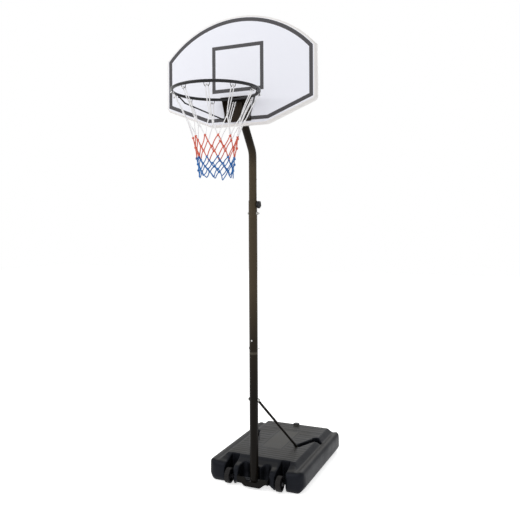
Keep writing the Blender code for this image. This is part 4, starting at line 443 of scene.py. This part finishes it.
bm = bmesh.new()
disc = bmesh.ops.create_circle(bm, cap_ends=True, segments=80, radius=KNOB_RADIUS)["verts"]
for vert in disc:
    angle = math.atan2(vert.co.y, vert.co.x)
    wave = (1 - math.cos(KNOB_LOBES * angle)) / 2
    vert.co *= (KNOB_RADIUS - KNOB_LOBE_DEPTH * wave) / KNOB_RADIUS
raised = bmesh.ops.extrude_face_region(bm, geom=bm.faces[:])["geom"]
top = [item for item in raised if isinstance(item, bmesh.types.BMVert)]
bmesh.ops.translate(bm, verts=top, vec=(0, 0, KNOB_THICKNESS))
bmesh.ops.recalc_face_normals(bm, faces=bm.faces)
rims = [edge for edge in bm.edges if abs(edge.verts[0].co.z - edge.verts[1].co.z) < KNOB_EDGE / 10]
bmesh.ops.bevel(bm, geom=rims, offset=KNOB_EDGE, segments=5, profile=0.5, affect="EDGES", material=-1)
crown = max(bm.faces, key=lambda face: face.calc_center_median().z)
bmesh.ops.inset_region(bm, faces=[crown], thickness=KNOB_RADIUS * KNOB_DISH, depth=0.0)
bmesh.ops.inset_region(bm, faces=[crown], thickness=KNOB_RECESS, depth=-KNOB_RECESS)
bmesh.ops.inset_region(bm, faces=[crown], thickness=KNOB_RADIUS * KNOB_HUB, depth=0.0)
bmesh.ops.inset_region(bm, faces=[crown], thickness=KNOB_RECESS, depth=KNOB_RECESS)
turns = int((KNOB_FACE - KNOB_SCREW_FROM) / KNOB_SCREW_PITCH)
profile = [(0.0, KNOB_SCREW_FROM), (KNOB_SCREW_RADIUS - KNOB_THREAD_DEPTH, KNOB_SCREW_FROM)]
for turn in range(turns):
    low = KNOB_SCREW_FROM + turn * KNOB_SCREW_PITCH
    profile.append((KNOB_SCREW_RADIUS, low + KNOB_SCREW_PITCH * 0.5))
    profile.append((KNOB_SCREW_RADIUS - KNOB_THREAD_DEPTH, low + KNOB_SCREW_PITCH))
profile.append((KNOB_SCREW_RADIUS, KNOB_FACE))
profile.append((KNOB_SCREW_RADIUS, KNOB_FACE + KNOB_THICKNESS / 2))
profile.append((0.0, KNOB_FACE + KNOB_THICKNESS / 2))


def lathe(bm, profile, steps):
    """A turning about Z from (radius, height) points; its poles aren't joined."""
    verts = [bm.verts.new((radius, 0.0, height)) for radius, height in profile]
    edges = [bm.edges.new(pair) for pair in zip(verts, verts[1:])]
    bmesh.ops.spin(bm, geom=verts + edges, cent=(0, 0, 0), axis=(0, 0, 1),
                   angle=2 * math.pi, steps=steps, use_merge=True)


knob_turn = Matrix.Translation(KNOB_CENTRE) @ Matrix.Rotation(math.radians(90), 4, "Y")
bmesh.ops.translate(bm, verts=bm.verts, vec=(0, 0, KNOB_FACE))
lathe(bm, profile, 24)
bmesh.ops.remove_doubles(bm, verts=bm.verts, dist=WELD_REACH)
bmesh.ops.recalc_face_normals(bm, faces=bm.faces)
bmesh.ops.transform(bm, matrix=knob_turn, verts=bm.verts)
knob = mesh_piece("lobed_clamp_knob", bm, moulded_plastic)
split_edges(knob, 40)
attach(knob, "clamp_knob")
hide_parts("height_knob")

# Backboard: a hollow blow-moulded panel of white polyethylene with a flat
# front, rounded edges and channels that stiffen its back.
BOARD_FACE_Y = -0.5801
BOARD_FACE_COLOUR = "#eeeff7"
BOARD_EDGE_COLOUR = "#eeebe9"
BOARD_LAP = 0.0006
BOARD_RIPPLE = 0.06
BOARD_GRAIN = 0.002

# Blow-moulded white polyethylene: a cool white painted front, a warmer bare
# rim and back, soft gloss, and a faint ripple 60 mm across from the cooling.
board_plastic, tree, shader, place = start_material("blow_moulded_white_polyethylene", BOARD_FACE_COLOUR,
                                                    0.34)
apart = add_node(tree, "SeparateXYZ", {"Vector": place})
front = add_node(tree, "MapRange", {"Value": apart.outputs["Y"], "From Min": BOARD_FACE_Y,
                                    "From Max": BOARD_FACE_Y + BOARD_LAP, "To Min": 0.0, "To Max": 1.0})
tone = add_node(tree, "Mix", {0: front.outputs["Result"], 6: linear(BOARD_FACE_COLOUR),
                              7: linear(BOARD_EDGE_COLOUR)}, data_type="RGBA")
tree.links.new(tone.outputs[2], shader.inputs["Base Color"])
ripple = add_node(tree, "TexNoise", {"Vector": place, "Scale": 1 / BOARD_RIPPLE, "Detail": 1.0})
fine = add_node(tree, "TexNoise", {"Vector": place, "Scale": 1 / BOARD_GRAIN, "Detail": 2.0})
skin = add_node(tree, "Math", {0: fine.outputs["Fac"], 1: 0.05, 2: ripple.outputs["Fac"]},
                operation="MULTIPLY_ADD")
bump = add_node(tree, "Bump", {"Height": skin.outputs["Value"], "Strength": 0.12, "Distance": 0.002})
tree.links.new(bump.outputs["Normal"], shader.inputs["Normal"])
dress(["backboard"], board_plastic)

# Printed lines: a border that follows the board's outline and a target square
# over the ring, both screen-printed in dark grey ink.
LINE_WIDTH = 0.0205
INK_THICKNESS = 0.00015
BORDER_FOOT = (0.1805, 2.0923)
BORDER_SIDE = (0.4353, 2.1939)
BORDER_ARC_FROM = 2.4606
BORDER_APEX = 2.6560
BORDER_ARC_STEPS = 32
TARGET_HALF = 0.1554
TARGET_LOW = 2.2527
TARGET_HIGH = 2.5131
INK_COLOUR = "#39373a"
INK_FILM = 0.003

# Screen-printed ink: dark grey and a little matt, with pinholes and an uneven
# film that a mesh of about 0.5 mm leaves, drawn at 3 mm so that it shows.
screen_ink, tree, shader, place = start_material("screen_printed_ink", INK_COLOUR, 0.5)
film = add_node(tree, "TexNoise", {"Vector": place, "Scale": 1 / INK_FILM, "Detail": 4.0})
tone = add_node(tree, "Mix", {0: film.outputs["Fac"], 6: linear("#333134"), 7: linear("#413f43")},
                data_type="RGBA")
tree.links.new(tone.outputs[2], shader.inputs["Base Color"])


def printed_loop(bm, outline):
    """A closed line of ink: its outer outline, inset by the line's width."""
    verts = [bm.verts.new((x, BOARD_FACE_Y, z)) for x, z in outline]
    face = bm.faces.new(verts)
    bm.normal_update()
    bmesh.ops.inset_region(bm, faces=[face], thickness=LINE_WIDTH, use_even_offset=True,
                           use_boundary=True)
    bmesh.ops.delete(bm, geom=[face], context="FACES_ONLY")


rise = BORDER_APEX - BORDER_ARC_FROM
arc_radius = (BORDER_SIDE[0] ** 2 + rise ** 2) / (2 * rise)
arc_half = math.asin(BORDER_SIDE[0] / arc_radius)
border = [(-BORDER_FOOT[0], BORDER_FOOT[1]), (BORDER_FOOT[0], BORDER_FOOT[1]), BORDER_SIDE]
for step in range(BORDER_ARC_STEPS + 1):
    angle = arc_half * (1 - 2 * step / BORDER_ARC_STEPS)
    border.append((arc_radius * math.sin(angle), BORDER_APEX - arc_radius * (1 - math.cos(angle))))
border.append((-BORDER_SIDE[0], BORDER_SIDE[1]))
bm = bmesh.new()
printed_loop(bm, border)
printed_loop(bm, [(-TARGET_HALF, TARGET_LOW), (TARGET_HALF, TARGET_LOW),
                  (TARGET_HALF, TARGET_HIGH), (-TARGET_HALF, TARGET_HIGH)])
raised = bmesh.ops.extrude_face_region(bm, geom=bm.faces[:])["geom"]
bmesh.ops.translate(bm, verts=[item for item in raised if isinstance(item, bmesh.types.BMVert)],
                    vec=(0, -INK_THICKNESS, 0))
bmesh.ops.recalc_face_normals(bm, faces=bm.faces)
ink = mesh_piece("printed_lines", bm, screen_ink)
split_edges(ink)
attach(ink, "goal")

# Ring: a rolled and welded steel bar with eleven bent wire hooks welded under
# it, powder-coated black as one piece.
RING_CENTRE_Y = -0.8403
RING_HEIGHT = 2.205
RING_RADIUS = 0.223
RING_BAR = 0.008
HOOKS = 11
HOOK_WIRE = 0.0015
HOOK_WIDTH = 0.030
HOOK_DROP = 0.014
HOOK_SHAPE = [(-0.50, -0.28), (-0.42, 0.55), (-0.33, 0.96), (-0.24, 1.0), (-0.15, 0.92),
              (-0.06, 0.52), (0.0, 0.45), (0.06, 0.52), (0.15, 0.92), (0.24, 1.0), (0.33, 0.96),
              (0.42, 0.55), (0.50, -0.28)]

ring_coat = powder_coat("gloss_black_powder_coat", "#111113", "#1a1a1d", 0.22, 0.25)


def ring_point(angle, radius, height):
    """A point about the ring's centre; 0 degrees is at the board."""
    turn = math.radians(angle)
    return Vector((radius * math.sin(turn), RING_CENTRE_Y + radius * math.cos(turn), height))


def curve_mesh(name, path, radius, closed=False, section=None, tilts=None):
    """A tube or a laid cord along a path, as a mesh; section is its outline."""
    curve = bpy.data.curves.new(name, "CURVE")
    curve.dimensions = "3D"
    curve.use_fill_caps = not closed
    curve.twist_mode = "MINIMUM"
    if section:
        curve.bevel_mode = "OBJECT"
        curve.bevel_object = section
    else:
        curve.bevel_depth = radius
        curve.bevel_resolution = 2
    spline = curve.splines.new("POLY")
    spline.points.add(len(path) - 1)
    for index, point in enumerate(path):
        spline.points[index].co = (*point, 1.0)
        spline.points[index].tilt = tilts[index] if tilts else 0.0
    spline.use_cyclic_u = closed
    holder = bpy.data.objects.new(name, curve)
    bpy.context.scene.collection.objects.link(holder)
    bpy.context.view_layer.update()
    mesh = bpy.data.meshes.new_from_object(holder.evaluated_get(bpy.context.evaluated_depsgraph_get()))
    bpy.data.objects.remove(holder)
    bpy.data.curves.remove(curve)
    return mesh


def add_mesh(bm, mesh):
    """Joins a finished mesh into a bmesh and drops it."""
    bm.from_mesh(mesh)
    bpy.data.meshes.remove(mesh)


bm = bmesh.new()
bar = bmesh.ops.create_circle(bm, segments=16, radius=RING_BAR)["verts"]
upright = Matrix.Rotation(math.radians(90), 4, "X")
outside = Matrix.Translation((RING_RADIUS, RING_CENTRE_Y, RING_HEIGHT))
bmesh.ops.transform(bm, matrix=outside @ upright, verts=bar)
bmesh.ops.spin(bm, geom=bm.verts[:] + bm.edges[:], cent=(0, RING_CENTRE_Y, RING_HEIGHT), axis=(0, 0, 1),
               angle=2 * math.pi, steps=144, use_merge=True)
bmesh.ops.remove_doubles(bm, verts=bm.verts, dist=WELD_REACH)
bmesh.ops.recalc_face_normals(bm, faces=bm.faces)
hook_top = RING_HEIGHT - RING_BAR - HOOK_WIRE
for hook in range(HOOKS):
    path = []
    for across, down in HOOK_SHAPE:
        angle = 360.0 * hook / HOOKS + math.degrees(across * HOOK_WIDTH / RING_RADIUS)
        path.append(ring_point(angle, RING_RADIUS, hook_top - down * HOOK_DROP))
    add_mesh(bm, curve_mesh("hook", path, HOOK_WIRE))
ring = mesh_piece("ring_with_hooks", bm, ring_coat)
split_edges(ring, 60)
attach(ring, "goal")
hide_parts("rim_ring")

# Bracket, braces and clamps: pressed and welded steel sheet and bar in brown-
# black powder coat, bolted through the board with black bolts and zinc-plated nuts.
bracket_coat = powder_coat("powder_coated_pressed_sheet", "#241e17", "#30281f", 0.4)
dress(["rim_bracket", "board_clamp", "board_top_clamp"], bracket_coat)
dress(["rim_brace_left", "rim_brace_right"], ring_coat)
corners = [row + side for row in ("lower_", "upper_") for side in ("left", "right")]
dress(["rim_bolt_" + corner for corner in corners], ring_coat)
dress(["rim_nut_" + corner for corner in corners], bright_zinc)
dress(["clamp_screw_left", "clamp_screw_right"], bright_zinc)

# Net: three bands of laid polyester cord in white, red and blue, knotted into
# diamonds. Its white loops hang over the ring's hooks, two strands to each.
CORD_RADIUS = 0.0028
CORD_PITCH = 0.0085
CORD_STEP = 0.0017
CORD_BOW = 0.0034
KNOT_HALF = 0.0045
KNOT_LAP = 0.0009
TWIN_SPREAD = 0.24
GATHER = (2.050, 0.148)
RED_TOP = (1.964, 0.1155)
RED_MIDDLE = (1.911, 0.106)
BLUE_TOP = (1.860, 0.0975)
BLUE_UPPER = (1.828, 0.0935)
BLUE_LOWER = (1.799, 0.090)
TIPS = (1.765, 0.087)
TIP_RAGGED = 0.006
BAND_LAP = 0.0018
SLING_GAP = 0.0003
CORD_DRIFT = 0.03
CORD_FIBRE = 0.0007
STRAND_POINTS = 9
STRAND_VALLEY = 0.74
chance = random.Random(11)


def cord_material(name, colour, pale):
    """Laid polyester cord: soft sheen, fibres a fraction of a millimetre thick
    drawn at 0.7 mm along the strands, and shade that drifts with handling."""
    material, tree, shader, place = start_material(name, colour, 0.75)
    drift = add_node(tree, "TexNoise", {"Vector": place, "Scale": 1 / CORD_DRIFT, "Detail": 3.0})
    fibre = add_node(tree, "TexNoise", {"Vector": place, "Scale": 1 / CORD_FIBRE, "Detail": 2.0})
    both = add_node(tree, "Math", {0: drift.outputs["Fac"], 1: fibre.outputs["Fac"]}, operation="MULTIPLY")
    shade = add_node(tree, "MapRange", {"Value": both.outputs["Value"], "From Min": 0.12, "From Max": 0.38,
                                        "To Min": 0.0, "To Max": 1.0})
    tone = add_node(tree, "Mix", {0: shade.outputs["Result"], 6: linear(colour), 7: linear(pale)},
                    data_type="RGBA")
    tree.links.new(tone.outputs[2], shader.inputs["Base Color"])
    shader.inputs["Sheen Weight"].default_value = 0.15
    bump = add_node(tree, "Bump", {"Height": fibre.outputs["Fac"], "Strength": 0.15, "Distance": 0.0003})
    tree.links.new(bump.outputs["Normal"], shader.inputs["Normal"])
    return material


white_cord = cord_material("laid_white_polyester_cord", "#f8f7fa", "#ffffff")
red_cord = cord_material("laid_red_polyester_cord", "#cf4a33", "#e87258")
blue_cord = cord_material("laid_blue_polyester_cord", "#0f58a3", "#2f80c4")

section_curve = bpy.data.curves.new("cord_section", "CURVE")
section_curve.dimensions = "2D"
section_spline = section_curve.splines.new("POLY")
section_spline.points.add(STRAND_POINTS - 1)
for index in range(STRAND_POINTS):
    angle = 2 * math.pi * index / STRAND_POINTS
    reach = CORD_RADIUS * (1.0 if index % 3 != 2 else STRAND_VALLEY)
    section_spline.points[index].co = (reach * math.cos(angle), reach * math.sin(angle), 0.0, 1.0)
section_spline.use_cyclic_u = True
cord_section = bpy.data.objects.new("cord_section", section_curve)
bpy.context.scene.collection.objects.link(cord_section)


def net_point(column, level, across=0.0, out=0.0):
    """A place on the net by column, (height, radius) and offsets."""
    height, radius = level
    angle = 360.0 * column / HOOKS + math.degrees(across / radius)
    return ring_point(angle, radius + out, height)


def resampled(path, closed):
    """The path as even short steps, with a smooth curve through its points."""
    count = len(path)
    fine = []
    last = count if closed else count - 1
    for index in range(last):
        if closed:
            a, b, c, d = (path[(index + shift) % count] for shift in (-1, 0, 1, 2))
        else:
            b, c = path[index], path[index + 1]
            a = path[max(index - 1, 0)]
            d = path[min(index + 2, count - 1)]
        steps = max(1, round((c - b).length / CORD_STEP))
        for step in range(steps):
            t = step / steps
            fine.append(0.5 * (2 * b + (c - a) * t + (2 * a - 5 * b + 4 * c - d) * t ** 2
                               + (3 * b - a - 3 * c + d) * t ** 3))
    if not closed:
        fine.append(path[-1])
    return fine


def laid_cord(bm, path, closed=True):
    """A three-strand cord along a path: its section turns once every pitch."""
    fine = resampled(path, closed)
    tilts = []
    gone = 0.0
    for index, point in enumerate(fine):
        if index:
            gone += (point - fine[index - 1]).length
        tilts.append(2 * math.pi * gone / CORD_PITCH)
    add_mesh(bm, curve_mesh("cord", fine, CORD_RADIUS, closed=closed, section=cord_section, tilts=tilts))


def wound_knot(bm, centre, size, lean):
    """An overhand knot pulled tight: two turns of cord round the crossing."""
    out = Vector((centre.x, centre.y - RING_CENTRE_Y, 0.0)).normalized()
    frame_out = out.to_track_quat("Y", "Z").to_matrix().to_4x4()
    for tilt, shift in ((lean, 0.32), (-lean, -0.32)):
        before = len(bm.verts)
        bar = bmesh.ops.create_circle(bm, segments=6, radius=size * 0.42)["verts"]
        edges = {edge for vert in bar for edge in vert.link_edges}
        start = Matrix.Translation((size * 0.55, 0, 0)) @ Matrix.Rotation(math.radians(90), 4, "X")
        bmesh.ops.transform(bm, matrix=start, verts=bar)
        bmesh.ops.spin(bm, geom=bar + list(edges), cent=(0, 0, 0), axis=(0, 0, 1),
                       angle=2 * math.pi, steps=9, use_merge=True)
        bm.verts.ensure_lookup_table()
        made = bm.verts[before:]
        place = (Matrix.Translation(centre) @ frame_out @ Matrix.Translation((0, 0, size * shift))
                 @ Matrix.Rotation(math.radians(tilt), 4, "Y"))
        bmesh.ops.transform(bm, matrix=place, verts=made)


def zigzag(top, low, top_half, rise=0.0, drop=0.0, ragged=0.0):
    """One row of diamonds: up to a knot, along it, and down to the next."""
    path = []
    phases = (0.5, 0.0) if top_half else (0.0, 0.5)
    ends = ((top[0] + rise, top[1]), (low[0] - drop, low[1]))
    for column in range(HOOKS):
        for place, level in enumerate(ends):
            spot = column + phases[0] + 0.5 * place
            uneven = chance.uniform(-ragged, ragged) * place
            for across in (-KNOT_HALF / 2, KNOT_HALF / 2):
                path.append(net_point(spot, (level[0] + uneven, level[1]), across + uneven))
            following = ends[1 - place]
            middle = ((level[0] + following[0]) / 2, (level[1] + following[1]) / 2)
            sway = chance.uniform(-CORD_BOW, CORD_BOW)
            path.append(net_point(spot + 0.25, middle, sway, chance.uniform(-CORD_BOW, 0.0)))
    return path


def knots(bm, level, half, size):
    """A tight knot in every crossing of one level."""
    for column in range(HOOKS):
        centre = net_point(column + (0.5 if half else 0.0), level)
        wound_knot(bm, centre, size * chance.uniform(0.92, 1.08), chance.uniform(16, 34))


def loop_path(column):
    """The white loop over one hook: up inside the ring beside the hook's middle,
    over its two low bends and across in front."""
    valley = TWIN_SPREAD * HOOK_WIDTH
    sling = HOOK_WIRE + SLING_GAP + CORD_RADIUS
    wire = RING_HEIGHT - RING_BAR - HOOK_WIRE - HOOK_DROP
    above = (wire + sling * 1.25, RING_RADIUS)
    beside = (wire + sling * 0.35, RING_RADIUS)
    below = (wire - sling * 1.3, RING_RADIUS)
    middle = ((wire + GATHER[0]) / 2, (RING_RADIUS + GATHER[1]) / 2 - 0.004)
    neck = (GATHER[0] + 0.020, GATHER[1] + 0.011)
    knot = (GATHER[0] + KNOT_LAP, GATHER[1])
    side = [(knot, 0.0, 0.0), (neck, 0.45, 0.0), (middle, 0.85, 0.0), (below, 1.0, -sling * 1.6),
            (beside, 1.0, -sling * 1.3), (above, 1.0, 0.0), (beside, 0.75, sling * 1.3)]
    left = [net_point(column, level, -valley * share, out) for level, share, out in side]
    right = [net_point(column, level, valley * share, out) for level, share, out in side]
    return left + right[:0:-1]


def net_band(name, rows, ties, material, node):
    """One colour of the net, its rows and knots in one piece."""
    bm = bmesh.new()
    for row in rows:
        laid_cord(bm, row)
    for level, half, size in ties:
        knots(bm, level, half, size)
    band = mesh_piece(name, bm, material)
    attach(band, "goal")
    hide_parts(node)


net_band("white_net_band",
         [zigzag(GATHER, RED_TOP, False, KNOT_LAP, -BAND_LAP)]
         + [loop_path(column) for column in range(HOOKS)],
         [(GATHER, False, 0.0064)], white_cord, "net_white")
net_band("red_net_band",
         [zigzag(RED_TOP, RED_MIDDLE, True, -BAND_LAP, KNOT_LAP),
          zigzag(RED_MIDDLE, BLUE_TOP, False, KNOT_LAP, -BAND_LAP)],
         [(RED_TOP, True, 0.0072), (RED_MIDDLE, False, 0.0072)], red_cord, "net_red")
net_band("blue_net_band",
         [zigzag(BLUE_TOP, BLUE_UPPER, True, -BAND_LAP, KNOT_LAP),
          zigzag(BLUE_UPPER, BLUE_LOWER, False, KNOT_LAP, KNOT_LAP),
          zigzag(BLUE_LOWER, TIPS, True, KNOT_LAP, 0.0, TIP_RAGGED)],
         [(BLUE_TOP, True, 0.0070), (BLUE_UPPER, False, 0.0068), (BLUE_LOWER, True, 0.0066)],
         blue_cord, "net_blue")
bpy.data.objects.remove(cord_section)
bpy.data.curves.remove(section_curve)

# Studio: a pale floor that keeps the stand's shadow, a white surround, and
# large soft lamps, the main one high on the left.
FLOOR_SIZE = 30.0
FLOOR_SPECKLE = 0.025
FLOOR_LIFT = 0.62
SURROUND_LIGHT = 0.70
LAMP_AIM = (0.0, -0.4, 1.4)
LAMPS = [("key_softbox", (-3.2, -4.2, 4.6), 5.0, 112.0), ("fill_softbox", (3.8, -2.6, 2.6), 3.0, 12.0),
         ("back_softbox", (0.0, 4.0, 4.2), 3.0, 34.0)]

# Matt floor paint: nearly white, with a faint speckle. It glows only to the
# camera and in reflections, so that it looks white and still holds the shadow.
floor_paint, tree, shader, place = start_material("matt_white_floor_paint", "#f4f4f4", 0.9, specular=0.1)
path = add_node(tree, "LightPath")
speckle = add_node(tree, "TexNoise", {"Vector": place, "Scale": 1 / FLOOR_SPECKLE, "Detail": 2.0})
tone = add_node(tree, "Mix", {0: speckle.outputs["Fac"], 6: linear("#f2f2f2"), 7: linear("#f6f6f6")},
                data_type="RGBA")
tree.links.new(tone.outputs[2], shader.inputs["Base Color"])
seen = add_node(tree, "Math", {0: path.outputs["Is Camera Ray"], 1: path.outputs["Is Glossy Ray"]},
                operation="MAXIMUM")
lift = add_node(tree, "Math", {0: seen.outputs["Value"], 1: FLOOR_LIFT}, operation="MULTIPLY")
tree.links.new(lift.outputs["Value"], shader.inputs["Emission Strength"])
shader.inputs["Emission Color"].default_value = (1.0, 1.0, 1.0, 1.0)
bm = bmesh.new()
bmesh.ops.create_grid(bm, x_segments=8, y_segments=8, size=FLOOR_SIZE / 2)
floor = mesh_piece("studio_floor", bm, floor_paint)

world = bpy.data.worlds.new("studio_surround")
bpy.context.scene.world = world
world.use_nodes = True
tree = world.node_tree
tree.nodes.clear()
path = add_node(tree, "LightPath")
seen = add_node(tree, "Math", {0: path.outputs["Is Camera Ray"], 1: path.outputs["Is Glossy Ray"]},
                operation="MAXIMUM")
clear = add_node(tree, "Math", {0: seen.outputs["Value"], 1: path.outputs["Is Transmission Ray"]},
                 operation="MAXIMUM")
soft = add_node(tree, "Background", {"Color": (1.0, 1.0, 1.0, 1.0), "Strength": SURROUND_LIGHT})
white = add_node(tree, "Background", {"Color": (1.0, 1.0, 1.0, 1.0), "Strength": 1.0})
surround = add_node(tree, "MixShader", {0: clear.outputs["Value"], 1: soft.outputs["Background"],
                                        2: white.outputs["Background"]})
add_node(tree, "OutputWorld", {"Surface": surround.outputs["Shader"]})

for name, place, size, power in LAMPS:
    lamp_data = bpy.data.lights.new(name, "AREA")
    lamp_data.shape = "SQUARE"
    lamp_data.size = size
    lamp_data.energy = power
    lamp = bpy.data.objects.new(name, lamp_data)
    lamp.location = place
    aim = Vector(LAMP_AIM) - Vector(place)
    lamp.rotation_euler = aim.to_track_quat("-Z", "Y").to_euler()
    bpy.context.scene.collection.objects.link(lamp)

bpy.context.scene.view_settings.view_transform = "Standard"
